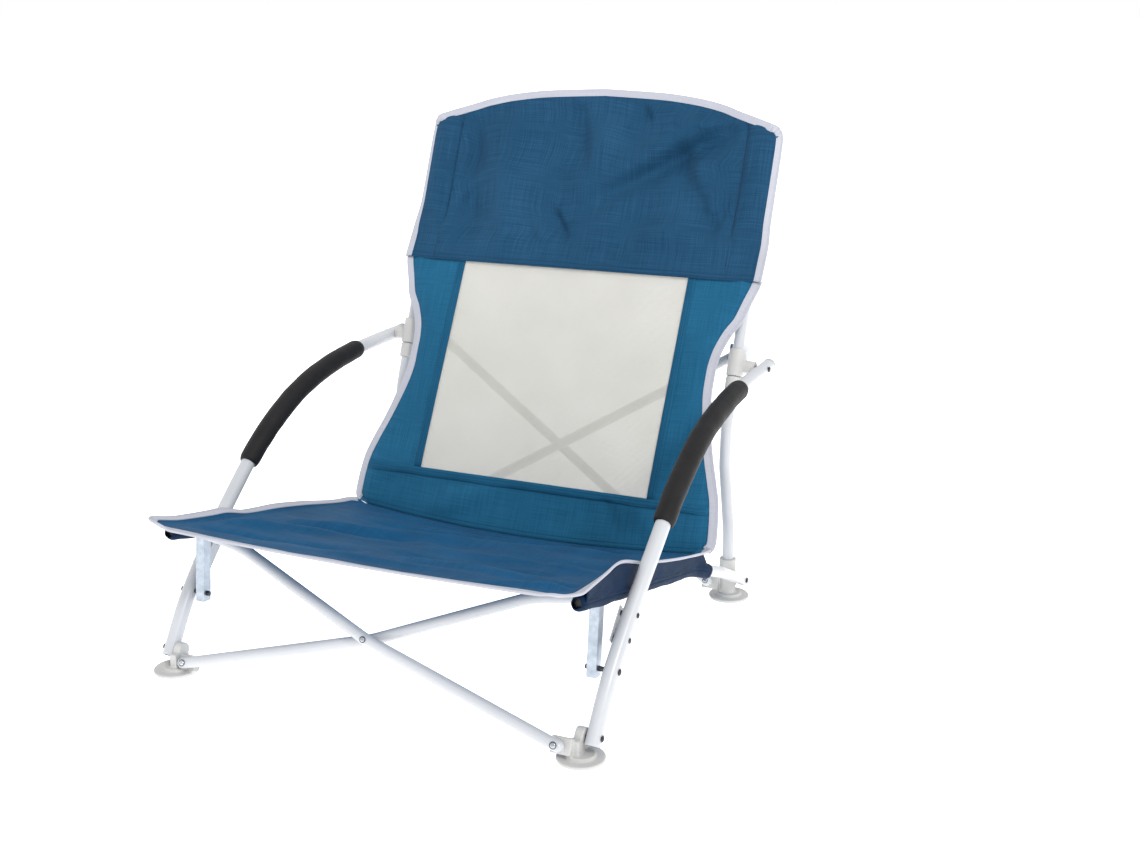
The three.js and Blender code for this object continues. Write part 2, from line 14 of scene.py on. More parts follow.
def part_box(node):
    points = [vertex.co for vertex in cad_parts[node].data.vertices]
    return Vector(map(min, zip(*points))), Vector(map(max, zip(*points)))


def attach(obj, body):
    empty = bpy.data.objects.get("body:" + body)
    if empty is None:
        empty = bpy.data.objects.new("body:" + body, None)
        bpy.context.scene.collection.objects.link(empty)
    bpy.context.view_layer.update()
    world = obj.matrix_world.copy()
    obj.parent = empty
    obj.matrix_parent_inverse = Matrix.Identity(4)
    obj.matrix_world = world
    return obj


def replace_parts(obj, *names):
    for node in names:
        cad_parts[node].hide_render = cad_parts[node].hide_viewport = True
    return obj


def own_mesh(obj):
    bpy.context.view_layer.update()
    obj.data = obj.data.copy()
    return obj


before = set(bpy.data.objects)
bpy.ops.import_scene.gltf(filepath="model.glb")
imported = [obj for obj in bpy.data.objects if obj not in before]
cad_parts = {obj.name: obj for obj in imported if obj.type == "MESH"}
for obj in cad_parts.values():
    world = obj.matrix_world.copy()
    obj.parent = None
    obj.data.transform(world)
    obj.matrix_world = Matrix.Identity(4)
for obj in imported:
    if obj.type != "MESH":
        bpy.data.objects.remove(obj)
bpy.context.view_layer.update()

# ---------- driving dimensions, millimetres ----------

MM = 0.001
FOOT_LOW, FOOT_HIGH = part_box("front_foot_left")
FRONT_LINE = (FOOT_LOW.y + FOOT_HIGH.y) / 2

LEAN = math.radians(22.5)
ACROSS = np.array([1.0, 0.0, 0.0])
UPWARD = np.array([0.0, 0.0, 1.0])
UP_LEAN = np.array([0.0, math.sin(LEAN), math.cos(LEAN)])
FORWARD_LEAN = np.array([0.0, -math.cos(LEAN), math.sin(LEAN)])

UPRIGHT_RADIUS = 8.0
UPRIGHT_X = 259.0
UPRIGHT_FOOT_X = 273.0
UPRIGHT_TOP = (694.9, 630.0)
RAIL_RADIUS = 7.5
RAIL_X = 275.0
RAIL_FOOT_X = 293.0
RAIL_TIP = (8.0, 181.4)
RAIL_TIP_X = 271.0
RAIL_BEND = (355.0, 98.0)
ARM_RADIUS = 9.5
ARM_X = 295.3
LEG_X = 288.0
GRIP_RADIUS = 14.0
BAR_RADIUS = 7.0
BAR_OFFSET = 8.0
WALL = 1.2
REAR_FOOT_Y = 514.0
RAIL_PIVOT = (516.0, 27.0)
LEG_PIVOT = (8.0, 25.0)
ARM_PIVOT = (572.0, 318.0)
REAR_BAR_BASE = (485.0, 30.0)
REAR_BAR_X = 250.0
REAR_BAR_RISE = 320.0
FRONT_BAR_BASE = (-15.0, 20.0)
FRONT_BAR_X = 255.5
FRONT_CROSS_RISE = 72.0
FOOT_X = 276.0
FOOT_RADIUS = 28.0
STOP_HEIGHTS = (286.0, 305.0)
SLIDER_HEIGHTS = (306.0, 341.0)
COLLAR_RADIUS = 11.0
# Clearance left between two parts that meet.
GAP = 0.3

SIDES = (-1, 1)


def side_name(side):
    return "right" if side > 0 else "left"


def to_row(points):
    return np.asarray(points, float) * MM + np.array([0.0, FRONT_LINE, 0.0])


def leaning(base, x, rise, forward=0.0):
    return np.array([x, base[0], base[1]]) + UP_LEAN * rise + FORWARD_LEAN * forward


def upright_y(z):
    """Depth of the uprights' straight upper part at a height."""
    return UPRIGHT_TOP[0] + (z - UPRIGHT_TOP[1]) * math.tan(LEAN)


def unit(v):
    v = np.asarray(v, float)
    return v / np.maximum(np.linalg.norm(v, axis=-1, keepdims=True), 1e-9)


def smooth_step(value, low, high):
    t = np.clip((np.asarray(value, float) - low) / (high - low), 0, 1)
    return t * t * (3 - 2 * t)


def through(stops):
    """A smooth function through (place, value) stops, with no overshoot between them."""
    places = np.array([s[0] for s in stops], float)
    values = np.array([s[1] for s in stops], float)
    steps = np.diff(values) / np.diff(places)
    slopes = np.concatenate([[steps[0]], np.zeros(len(steps) - 1), [steps[-1]]])
    for i in range(1, len(steps)):
        if steps[i - 1] * steps[i] > 0:
            slopes[i] = 2 * steps[i - 1] * steps[i] / (steps[i - 1] + steps[i])

    def at(value):
        value = np.clip(np.asarray(value, float), places[0], places[-1])
        i = np.clip(np.searchsorted(places, value, side="right") - 1, 0, len(steps) - 1)
        width = places[i + 1] - places[i]
        t = (value - places[i]) / width
        return (
            values[i] * (1 + 2 * t) * (1 - t) ** 2
            + slopes[i] * width * t * (1 - t) ** 2
            + values[i + 1] * t * t * (3 - 2 * t)
            + slopes[i + 1] * width * t * t * (t - 1)
        )

    return at


def arrays(x, y):
    return np.broadcast_arrays(np.asarray(x, float), np.asarray(y, float))


def ripple(x, y, scale, seed):
    """Soft noise from -1 to 1 over a sheet, the same on every run."""
    x, y = arrays(x, y)
    made = [noise.noise(Vector((a / scale, b / scale, seed))) for a, b in zip(x.ravel(), y.ravel())]
    return np.array(made).reshape(x.shape)


def running_lengths(points, axis=0):
    """How far each point is from the first, along its row or column of points."""
    steps = np.linalg.norm(np.diff(points, axis=axis), axis=-1)
    return np.concatenate([np.zeros_like(steps.take([0], axis=axis)), np.cumsum(steps, axis=axis)], axis=axis)


# ---------- materials ----------


def linear(red, green, blue):
    """A display colour, 0 to 255, as the shader's linear colour."""
    shares = [c / 255 for c in (red, green, blue)]
    return tuple(s / 12.92 if s <= 0.04045 else ((s + 0.055) / 1.055) ** 2.4 for s in shares) + (1.0,)


class Finish:
    """A procedural material: a Principled shader with texture nodes added one by one."""

    def __init__(self, name, roughness, metallic=0.0, **sockets):
        self.material = bpy.data.materials.new(name)
        self.material.use_nodes = True
        self.nodes = self.material.node_tree.nodes
        self.links = self.material.node_tree.links
        self.shader = self.nodes["Principled BSDF"]
        self.shader.inputs["Roughness"].default_value = roughness
        self.shader.inputs["Metallic"].default_value = metallic
        for socket, value in sockets.items():
            label = socket.replace("_", " ").title().replace("Ior", "IOR")
            self.shader.inputs[label].default_value = value
        coordinates = self.nodes.new("ShaderNodeTexCoord")
        self.object_place = coordinates.outputs["Object"]
        self.sheet_place = coordinates.outputs["UV"]
        self.height = None

    def sheet_axes(self):
        """The two places on the sheet, across it and up it."""
        split = self.nodes.new("ShaderNodeSeparateXYZ")
        self.links.new(self.sheet_place, split.inputs["Vector"])
        return [split.outputs[axis] for axis in "XY"]

    def stretch(self, place, scale):
        mapping = self.nodes.new("ShaderNodeMapping")
        mapping.inputs["Scale"].default_value = scale
        self.links.new(place, mapping.inputs["Vector"])
        return mapping.outputs["Vector"]

    def noise(self, scale, detail=3.0, rough=0.55, place=None):
        """Noise over the object's own coordinates, or over another place."""
        made = self.nodes.new("ShaderNodeTexNoise")
        made.inputs["Scale"].default_value = scale
        made.inputs["Detail"].default_value = detail
        made.inputs["Roughness"].default_value = rough
        self.links.new(place or self.object_place, made.inputs["Vector"])
        return made.outputs["Fac"]

    def math(self, operation, *values):
        node = self.nodes.new("ShaderNodeMath")
        node.operation = operation
        for socket, value in zip(node.inputs, values):
            if isinstance(value, (int, float)):
                socket.default_value = value
            else:
                self.links.new(value, socket)
        return node.outputs["Value"]

    def tint(self, factor, dark, light, low=0.3, high=0.7):
        """Colours the surface from dark to light while the factor goes from low to high."""
        node = self.nodes.new("ShaderNodeValToRGB")
        for element, place, shade in zip(node.color_ramp.elements, (low, high), (dark, light)):
            element.position = place
            element.color = linear(*shade)
        self.links.new(factor, node.inputs["Fac"])
        self.links.new(node.outputs["Color"], self.shader.inputs["Base Color"])

    def vary_roughness(self, factor, low, high):
        node = self.nodes.new("ShaderNodeMapRange")
        node.inputs["To Min"].default_value = low
        node.inputs["To Max"].default_value = high
        self.links.new(factor, node.inputs["Value"])
        self.links.new(node.outputs["Result"], self.shader.inputs["Roughness"])

    def bump(self, height, distance, strength=1.0):
        node = self.nodes.new("ShaderNodeBump")
        node.inputs["Distance"].default_value = distance
        node.inputs["Strength"].default_value = strength
        self.links.new(height, node.inputs["Height"])
        if self.height is not None:
            self.links.new(self.height, node.inputs["Normal"])
        self.height = node.outputs["Normal"]
        self.links.new(self.height, self.shader.inputs["Normal"])


def painted_steel():
    """White powder coat with fine orange peel and a faint cool drift."""
    made = Finish("white_powder_coat", 0.32, Coat_weight=0.25, Coat_roughness=0.2)
    made.tint(made.noise(9.0, 2.0), (182, 185, 190), (193, 195, 199))
    made.vary_roughness(made.noise(60.0, 4.0), 0.26, 0.4)
    made.bump(made.noise(700.0, 2.0), 0.00012, 0.5)
    return made.material


def moulded_plastic(name, dark, light):
    made = Finish(name, 0.45)
    made.tint(made.noise(25.0), dark, light)
    made.vary_roughness(made.noise(120.0), 0.38, 0.55)
    made.bump(made.noise(1500.0, 2.0), 0.0001, 0.4)
    return made.material


def plated_steel(name, dark, light, roughness):
    """Zinc plating: pale spangle and streaks left by drawing and handling."""
    made = Finish(name, roughness, 0.85)
    made.tint(made.noise(90.0, 5.0, 0.65), dark, light, high=0.72)
    streaks = made.noise(1.0, place=made.stretch(made.object_place, (900.0, 900.0, 30.0)))
    made.vary_roughness(streaks, roughness - 0.08, roughness + 0.16)
    made.bump(streaks, 0.00006, 0.4)
    return made.material


def foam():
    """Closed cell foam: matt, with small open cells and a faint sheen."""
    made = Finish("black_foam", 0.66, Specular_ior_level=0.25, Sheen_weight=0.02)
    cells = made.noise(900.0, 3.0, 0.6)
    made.tint(made.noise(40.0, 4.0), (15, 15, 17), (24, 24, 27), high=0.75)
    made.vary_roughness(made.noise(70.0), 0.5, 0.72)
    made.bump(cells, 0.0003, 0.55)
    made.bump(made.noise(60.0, 2.0), 0.0008, 0.3)
    return made.material


THREAD = 0.0011
# How fast the yarns' thickness changes across them and along them.
YARN_FINE = 900.0
YARN_LONG = 14.0


def woven(name, dark, light, slub=0.72, sheen=0.03):
    """Plain weave polyester in the sheet's own metres: crossing threads, uneven yarns, faint clouds."""
    made = Finish(name, 0.72, Specular_ior_level=0.1, Sheen_weight=sheen, Sheen_roughness=0.4)
    waves = [
        made.math("SINE", made.math("MULTIPLY", place, math.pi / THREAD))
        for place in made.sheet_axes()
    ]
    crossing = made.math("MULTIPLY", *waves)
    warp = made.noise(1.0, 2.0, place=made.stretch(made.sheet_place, (YARN_FINE, YARN_LONG, 1.0)))
    weft = made.noise(1.0, 2.0, place=made.stretch(made.sheet_place, (YARN_LONG, YARN_FINE, 1.0)))
    yarns = made.math("ADD", made.math("MULTIPLY", warp, 0.5), made.math("MULTIPLY", weft, 0.5))
    cloud = made.noise(7.0, place=made.sheet_place)
    mixed = made.math("ADD", made.math("MULTIPLY", yarns, slub), made.math("MULTIPLY", cloud, 1 - slub))
    made.tint(mixed, dark, light, 0.36, 0.64)
    made.vary_roughness(yarns, 0.62, 0.82)
    made.bump(crossing, 0.00018, 0.6)
    made.bump(yarns, 0.0003, 0.5)
    return made.material


MESH_PITCH = 0.0016
# Half a hole as a share of the pitch, and how much of a hole is veiled.
HOLE_HALF = 0.26
HOLE_COVER = 0.34


def net():
    """Open mesh: pale yarns round small square holes that let the frame behind show faintly."""
    made = Finish("mesh_net", 0.7, Sheen_weight=0.1)
    sides = []
    for place in made.sheet_axes():
        cell = made.math("FRACT", made.math("DIVIDE", place, MESH_PITCH))
        sides.append(made.math("ABSOLUTE", made.math("SUBTRACT", cell, 0.5)))
    edge = made.math("MAXIMUM", *sides)
    yarn = made.math("GREATER_THAN", edge, HOLE_HALF)
    cover = made.math("MULTIPLY_ADD", yarn, 1 - HOLE_COVER, HOLE_COVER)
    made.links.new(cover, made.shader.inputs["Alpha"])
    made.tint(made.noise(9.0, place=made.sheet_place), (188, 187, 180), (197, 196, 190))
    made.bump(edge, 0.0003, 0.5)
    return made.material


WHITE_PAINT = painted_steel()
WHITE_PLASTIC = moulded_plastic("white_plastic", (182, 182, 180), (194, 193, 191))
FOOT_PLASTIC = moulded_plastic("foot_plastic", (182, 182, 180), (194, 194, 192))
DARK_PLASTIC = moulded_plastic("dark_plastic", (24, 24, 27), (36, 36, 40))
ZINC = plated_steel("zinc", (150, 160, 172), (186, 195, 205), 0.34)
BRIGHT_ZINC = plated_steel("bright_zinc", (140, 146, 152), (205, 209, 214), 0.22)
DARK_ZINC = plated_steel("dark_zinc", (48, 50, 55), (84, 87, 93), 0.4)
FOAM = foam()
PANEL_BLUE = woven("panel_blue", (16, 76, 107), (36, 101, 137))
HEAD_BLUE = woven("headrest_blue", (16, 56, 85), (38, 82, 115))
SEAT_BLUE = woven("seat_blue", (8, 62, 97), (28, 88, 130))
# The seat cloth's blue, darkened to paint shade onto the rail sleeves and the side bands under the seat's
# edge.
SLEEVE_PAINTED_SHADE_BLUE = woven("sleeve_painted_shade_blue", (6, 26, 48), (16, 44, 74))
HEM_BLUE = woven("hem_blue", (14, 73, 104), (32, 97, 132))
BINDING = woven("binding_tape", (172, 174, 184), (186, 188, 198), 0.7)
THREAD_BLUE = woven("thread_blue", (14, 48, 80), (20, 60, 94))
NET = net()

# ---------- meshes ----------

# From this share of an axis on, a direction counts as running along it.
NEARLY_ALONG = 0.9
TUBE_EDGE = 0.35
DOME_ANGLES = (30, 55, 80)
MOULD_VOXEL = 0.9
MOULD_ROUNDS = 6


def make_mesh(name, points, faces, material, uvs=None, extra=(), choice=None):
    """A smooth mesh from points in millimetres. uvs holds one (u, v) in metres for each point."""
    mesh = bpy.data.meshes.new(name)
    mesh.from_pydata(to_row(points).tolist(), [], [tuple(int(i) for i in face) for face in faces])
    mesh.polygons.foreach_set("use_smooth", [True] * len(mesh.polygons))
    for finish in (material, *extra):
        mesh.materials.append(finish)
    if choice is not None:
        mesh.polygons.foreach_set("material_index", choice)
    if uvs is not None:
        layer = mesh.uv_layers.new(name="sheet")
        corners = np.zeros(len(mesh.loops), int)
        mesh.loops.foreach_get("vertex_index", corners)
        layer.data.foreach_set("uv", np.asarray(uvs, float)[corners].ravel())
    mesh.update()
    piece = bpy.data.objects.new(name, mesh)
    bpy.context.scene.collection.objects.link(piece)
    return piece


def settle(piece):
    """Applies the piece's modifiers, so that its mesh is final."""
    graph = bpy.context.evaluated_depsgraph_get()
    mesh = bpy.data.meshes.new_from_object(piece.evaluated_get(graph))
    mesh.name = piece.name
    old = piece.data
    piece.modifiers.clear()
    piece.data = mesh
    bpy.data.meshes.remove(old)
    return piece


def loft(rings, wrap=False):
    """Points and faces of a skin over rings of equal count, closed end to end or capped."""
    rings = np.asarray(rings, float)
    count, around = rings.shape[:2]
    faces = []
    for i in range(count if wrap else count - 1):
        here, there = i * around, ((i + 1) % count) * around
        for j in range(around):
            k = (j + 1) % around
            faces.append((here + j, here + k, there + k, there + j))
    if not wrap:
        faces.append(tuple(range(around))[::-1])
        faces.append(tuple((count - 1) * around + j for j in range(around)))
    return rings.reshape(-1, 3), faces


def square_to(direction):
    """Two unit directions square to a direction and to each other."""
    side = unit(np.cross(direction, UPWARD if abs(direction[2]) < NEARLY_ALONG else ACROSS))
    return side, np.cross(direction, side)


def travel(points):
    """Tangents, sides and ups of a frame carried along a line without twist."""
    points = np.asarray(points, float)
    tangents = unit(np.gradient(points, axis=0))
    side = ACROSS if abs(unit(points[1] - points[0])[0]) < NEARLY_ALONG else UP_LEAN
    sides = []
    for tangent in tangents:
        side = unit(side - tangent * (side @ tangent))
        sides.append(side)
    sides = np.array(sides)
    return tangents, sides, np.cross(tangents, sides)


def circle_ring(centre, side, up, radius, around):
    angles = np.arange(around) * 2 * math.pi / around
    return centre + radius * (np.cos(angles)[:, None] * side + np.sin(angles)[:, None] * up)


def rings_along(points, sides, ups, radius, around):
    return [circle_ring(p, s, u, radius, around) for p, s, u in zip(points, sides, ups)]


def hollow_tube(name, points, radius, material, around=28):
    """A tube open at both ends, with its cut edges broken."""
    points = np.asarray(points, float)
    tangents, sides, ups = travel(points)
    outer, inner, lips = (
        rings_along(points, sides, ups, reach, around)
        for reach in (radius, radius - WALL, radius - TUBE_EDGE)
    )
    outer[0] = outer[0] + tangents[0] * TUBE_EDGE
    outer[-1] = outer[-1] - tangents[-1] * TUBE_EDGE
    verts, faces = loft([lips[0], *outer, lips[-1], *inner[::-1]], wrap=True)
    return make_mesh(name, verts, faces, material)


def round_rod(name, points, radius, material, around=28):
    """A rod with domed ends."""
    points = np.asarray(points, float)
    tangents, sides, ups = travel(points)
    domes = []
    for end, outward in ((0, -1), (-1, 1)):
        rings = []
        for angle in DOME_ANGLES:
            away = math.sin(math.radians(angle)) * radius * outward
            reach = math.cos(math.radians(angle)) * radius
            rings.append(circle_ring(points[end] + tangents[end] * away, sides[end], ups[end], reach, around))
        domes.append(rings)
    body = rings_along(points, sides, ups, radius, around)
    verts, faces = loft([*domes[0][::-1], *body, *domes[1]])
    return make_mesh(name, verts, faces, material)


def turned(name, profile, start, direction, material, around=28, extra=(), choice=None):
    """A turned piece: (radius, height) stops along a direction, with its ends capped."""
    direction = unit(direction)
    side, up = square_to(direction)
    start = np.asarray(start)
    rings = [circle_ring(start + direction * h, side, up, max(r, 0.05), around) for r, h in profile]
    verts, faces = loft(rings)
    picked = None
    if choice is not None:
        picked = [choice[min(i // around, len(profile) - 2)] for i in range(len(faces))]
    return make_mesh(name, verts, faces, material, extra=extra, choice=picked)


def box_solid(middle, axes, half):
    """Eight corners and six faces of a block with its own axes."""
    corners = []
    for sx, sy, sz in itertools.product((-1, 1), repeat=3):
        corners.append(middle + axes[0] * half[0] * sx + axes[1] * half[1] * sy + axes[2] * half[2] * sz)
    faces = [(0, 1, 3, 2), (4, 6, 7, 5), (0, 4, 5, 1), (2, 3, 7, 6), (0, 2, 6, 4), (1, 5, 7, 3)]
    return np.array(corners), faces


def rod_solid(start, end, radius, around=48):
    start, end = np.asarray(start, float), np.asarray(end, float)
    side, up = square_to(unit(end - start))
    return loft([circle_ring(middle, side, up, radius, around) for middle in (start, end)])


def leaning_solid(base, x, rise, forward):
    """A block set out in the leaning plane from its lowest and highest x, rise and forward."""
    middle = leaning(base, sum(x) / 2, sum(rise) / 2, sum(forward) / 2)
    half = [abs(pair[1] - pair[0]) / 2 for pair in (x, rise, forward)]
    return box_solid(middle, (ACROSS, UP_LEAN, FORWARD_LEAN), half)


def moulded(name, solids, material, cutters=()):
    """One moulded body: the solids are fused, their edges rounded, and bores cut afterwards."""
    verts, faces, offset = [], [], 0
    for points, sides in solids:
        verts.append(points)
        faces.extend(tuple(i + offset for i in side) for side in sides)
        offset += len(points)
    piece = make_mesh(name, np.concatenate(verts), faces, material)
    remesh = piece.modifiers.new("fuse", "REMESH")
    remesh.mode = "VOXEL"
    remesh.voxel_size = MOULD_VOXEL * MM
    remesh.use_smooth_shade = True
    smooth = piece.modifiers.new("round", "SMOOTH")
    smooth.factor = 0.5
    smooth.iterations = MOULD_ROUNDS
    settle(piece)
    for points, sides in cutters:
        tool = make_mesh(name + "_cutter", points, sides, material)
        bore = piece.modifiers.new("bore", "BOOLEAN")
        bore.operation = "DIFFERENCE"
        bore.solver = "EXACT"
        bore.object = tool
        settle(piece)
        bpy.data.objects.remove(tool)
    piece.data.polygons.foreach_set("use_smooth", [True] * len(piece.data.polygons))
    piece.data.set_sharp_from_angle(angle=math.radians(50))
    return piece


# ---------- lines of the frame ----------


def bent_line(corners, bend_radius, bend_steps=14):
    """Straight runs between corners, with a round bend at each corner."""
    corners = [np.asarray(c, float) for c in corners]
    line = [corners[0]]
    for before, corner, after in zip(corners, corners[1:], corners[2:]):
        incoming, outgoing = unit(corner - before), unit(after - corner)
        turn = math.acos(max(-1.0, min(1.0, float(incoming @ outgoing))))
        setback = bend_radius * math.tan(turn / 2)
        first, last = corner - incoming * setback, corner + outgoing * setback
        for t in np.linspace(0, 1, bend_steps):
            line.append(first * (1 - t) ** 2 + corner * 2 * t * (1 - t) + last * t * t)
    line.append(corners[-1])
    return fill_in(np.array(line), 12.0)


def fill_in(line, gap):
    """The same line with points no further apart than the gap."""
    made = [line[0]]
    for start, end in zip(line, line[1:]):
        count = max(1, math.ceil(np.linalg.norm(end - start) / gap))
        made.extend(start + (end - start) * (i + 1) / count for i in range(count))
    return np.array(made)


def between(p, q, low, high, t):
    """The point at t on the line that is at p for low and at q for high."""
    return p * (high - t) / (high - low) + q * (t - low) / (high - low)


def knotted_curve(points, steps=16):
    """A centripetal Catmull-Rom curve through the points."""
    points = np.asarray(points, float)
    padded = np.vstack([2 * points[0] - points[1], points, 2 * points[-1] - points[-2]])
    line = []
    for a, b, c, d in zip(padded, padded[1:], padded[2:], padded[3:]):
        gaps = [np.linalg.norm(q - p) ** 0.5 for p, q in ((a, b), (b, c), (c, d))]
        k0, k1, k2, k3 = np.cumsum([0.0] + gaps)
        for t in np.linspace(k1, k2, steps, endpoint=False):
            first = between(a, b, k0, k1, t)
            second = between(b, c, k1, k2, t)
            third = between(c, d, k2, k3, t)
            low = between(first, second, k0, k2, t)
            high = between(second, third, k1, k3, t)
            line.append(between(low, high, k1, k2, t))
    line.append(points[-1])
    return np.array(line)


ARM_LINE = [
    (3, 16), (45, 77), (100, 134), (160, 186), (230, 240), (311, 282), (390, 303), (480, 313), (602, 316)
]
GRIP_FROM_Y = 190.0
GRIP_TO_Y = 480.0


def upright_line(side):
    return bent_line(
        [
            (side * UPRIGHT_FOOT_X, REAR_FOOT_Y, 38.5),
            (side * UPRIGHT_FOOT_X, REAR_FOOT_Y, 95),
            (side * UPRIGHT_X, REAR_FOOT_Y + 16, 185),
            (side * UPRIGHT_X, upright_y(240), 240),
            (side * UPRIGHT_X, UPRIGHT_TOP[0], UPRIGHT_TOP[1]),
        ],
        90.0,
    )


def rail_line(side):
    return bent_line(
        [
            (side * RAIL_TIP_X, *RAIL_TIP),
            (side * RAIL_X, *RAIL_BEND),
            (side * RAIL_FOOT_X, 424, 71),
            (side * RAIL_FOOT_X, RAIL_PIVOT[0] + 15, RAIL_PIVOT[1] - 7.2),
        ],
        60.0,
    )


def arm_x(y):
    """The legs lean in a little below the grips."""
    return LEG_X + (ARM_X - LEG_X) * min(y / GRIP_FROM_Y, 1.0)


def arm_line(side):
    return knotted_curve([(side * arm_x(y), y, z) for y, z in ARM_LINE])


# ---------- frame pieces ----------


def ride(piece, body):
    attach(piece, body)
    return piece


def make_tubes(side):
    name = side_name(side)
    upright = hollow_tube(f"upright_tube_{name}", upright_line(side), UPRIGHT_RADIUS, WHITE_PAINT)
    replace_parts(ride(upright, f"{name}_side"), f"upright_{name}")
    rail = hollow_tube(f"rail_tube_{name}", rail_line(side), RAIL_RADIUS, WHITE_PAINT)
    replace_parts(ride(rail, f"seat_rail_{name}"), f"seat_rail_{name}")
    arm = hollow_tube(f"arm_and_leg_tube_{name}", arm_line(side), ARM_RADIUS, WHITE_PAINT, 32)
    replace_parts(ride(arm, f"arm_{name}"), f"arm_tube_{name}")


def make_grip(side):
    """The foam sleeve: slightly fuller in the middle, with soft cut ends and small dents."""
    name = side_name(side)
    line = arm_line(side)
    line = fill_in(line[(line[:, 1] >= GRIP_FROM_Y) & (line[:, 1] <= GRIP_TO_Y)], 4.0)
    count, around = len(line), 40
    _, sides, ups = travel(line)
    radii = GRIP_RADIUS - 0.5 + 0.5 * np.sin(math.pi * np.linspace(0, 1, count))
    for i, drop in enumerate((2.4, 1.0, 0.35)):
        radii[i] -= drop
        radii[-1 - i] -= drop
    rings = []
    for i in range(count):
        ring = circle_ring(line[i], sides[i], ups[i], radii[i], around)
        dents = np.array([noise.noise(Vector(p / 22.0) + Vector((side * 7.0, 0, 0))) for p in ring])
        rings.append(ring + unit(ring - line[i]) * dents[:, None] * 0.45)
    bore = rings_along(line, sides, ups, ARM_RADIUS + GAP, around)
    verts, faces = loft([*rings, *bore[::-1]], wrap=True)
    grip = make_mesh(f"foam_grip_sleeve_{name}", verts, faces, FOAM)
    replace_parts(ride(grip, f"arm_{name}"), f"foam_grip_{name}")


def add_bar(end, letter, line):
    bar = round_rod(f"{end}_bar_tube_{letter}", line, BAR_RADIUS, WHITE_PAINT)
    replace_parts(ride(bar, f"{end}_bar_{letter}"), f"{end}_bar_{letter}")


def make_rear_bars():
    for side, letter in zip(SIDES, "ab"):
        forward = -side * BAR_OFFSET
        low = leaning(REAR_BAR_BASE, side * REAR_BAR_X, 0, forward)
        high = leaning(REAR_BAR_BASE, -side * REAR_BAR_X, REAR_BAR_RISE, forward)
        along = unit(high - low)
        add_bar("rear", letter, fill_in(np.array([low - along * 1.0, high + along * 1.0]), 20.0))


def make_front_bars():
    for side, letter in zip(SIDES, "ab"):
        forward = side * BAR_OFFSET
        corners = [
            leaning(FRONT_BAR_BASE, side * (FRONT_BAR_X + 3), -0.9, forward),
            leaning(FRONT_BAR_BASE, 0, FRONT_CROSS_RISE, forward),
            leaning(FRONT_BAR_BASE, -side * 194, 153, forward),
            leaning(FRONT_BAR_BASE, -side * 249, 161.2, forward),
        ]
        add_bar("front", letter, bent_line(corners, 160.0))


def foot_disc(side, y):
    """The round sole of a foot, and the step on it."""
    centre = (side * FOOT_X, y)
    return [
        rod_solid((*centre, 0), (*centre, 4.2), FOOT_RADIUS, 96),
        rod_solid((*centre, 2), (*centre, 8), 17, 64),
    ]


def make_rear_foot(side):
    name = side_name(side)
    lug_top = -side * BAR_OFFSET - BAR_RADIUS - GAP
    post = (side * UPRIGHT_FOOT_X, REAR_FOOT_Y)
    boss = sorted((side * 262, side * (RAIL_FOOT_X - RAIL_RADIUS - GAP)))
    solids = [
        *foot_disc(side, REAR_FOOT_Y),
        rod_solid((*post, 2), (*post, 57), 11.7),
        rod_solid((boss[0], *RAIL_PIVOT), (boss[1], *RAIL_PIVOT), 10.2),
        leaning_solid(REAR_BAR_BASE, sorted((side * 241, side * 264)), (-10, 10), (-29, lug_top)),
    ]
    bore = rod_solid((*post, 38), (*post, 60), UPRIGHT_RADIUS + 0.25)
    foot = moulded(f"rear_foot_hub_{name}", solids, FOOT_PLASTIC, [bore])
    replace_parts(ride(foot, f"{name}_side"), f"rear_foot_{name}")


def make_front_foot(side):
    name = side_name(side)
    lug_top = side * BAR_OFFSET - BAR_RADIUS - GAP
    hub_end = arm_x(LEG_PIVOT[0]) - ARM_RADIUS - GAP
    solids = [
        *foot_disc(side, 0),
        box_solid(np.array([side * 272.8, 3.0, 13.5]), np.eye(3), (4.8, 13, 11.5)),
        rod_solid((side * 268, *LEG_PIVOT), (side * hub_end, *LEG_PIVOT), 9.6),
        leaning_solid(FRONT_BAR_BASE, sorted((side * 246, side * 271)), (-10, 9), (lug_top - 9, lug_top)),
        leaning_solid(FRONT_BAR_BASE, sorted((side * 264, side * 271)), (-10, 9), (-22, lug_top)),
    ]
    foot = moulded(f"front_foot_hub_{name}", solids, FOOT_PLASTIC)
    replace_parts(ride(foot, f"front_foot_{name}"), f"front_foot_{name}")


def on_upright(side, z):
    return np.array([side * UPRIGHT_X, upright_y(z), z])


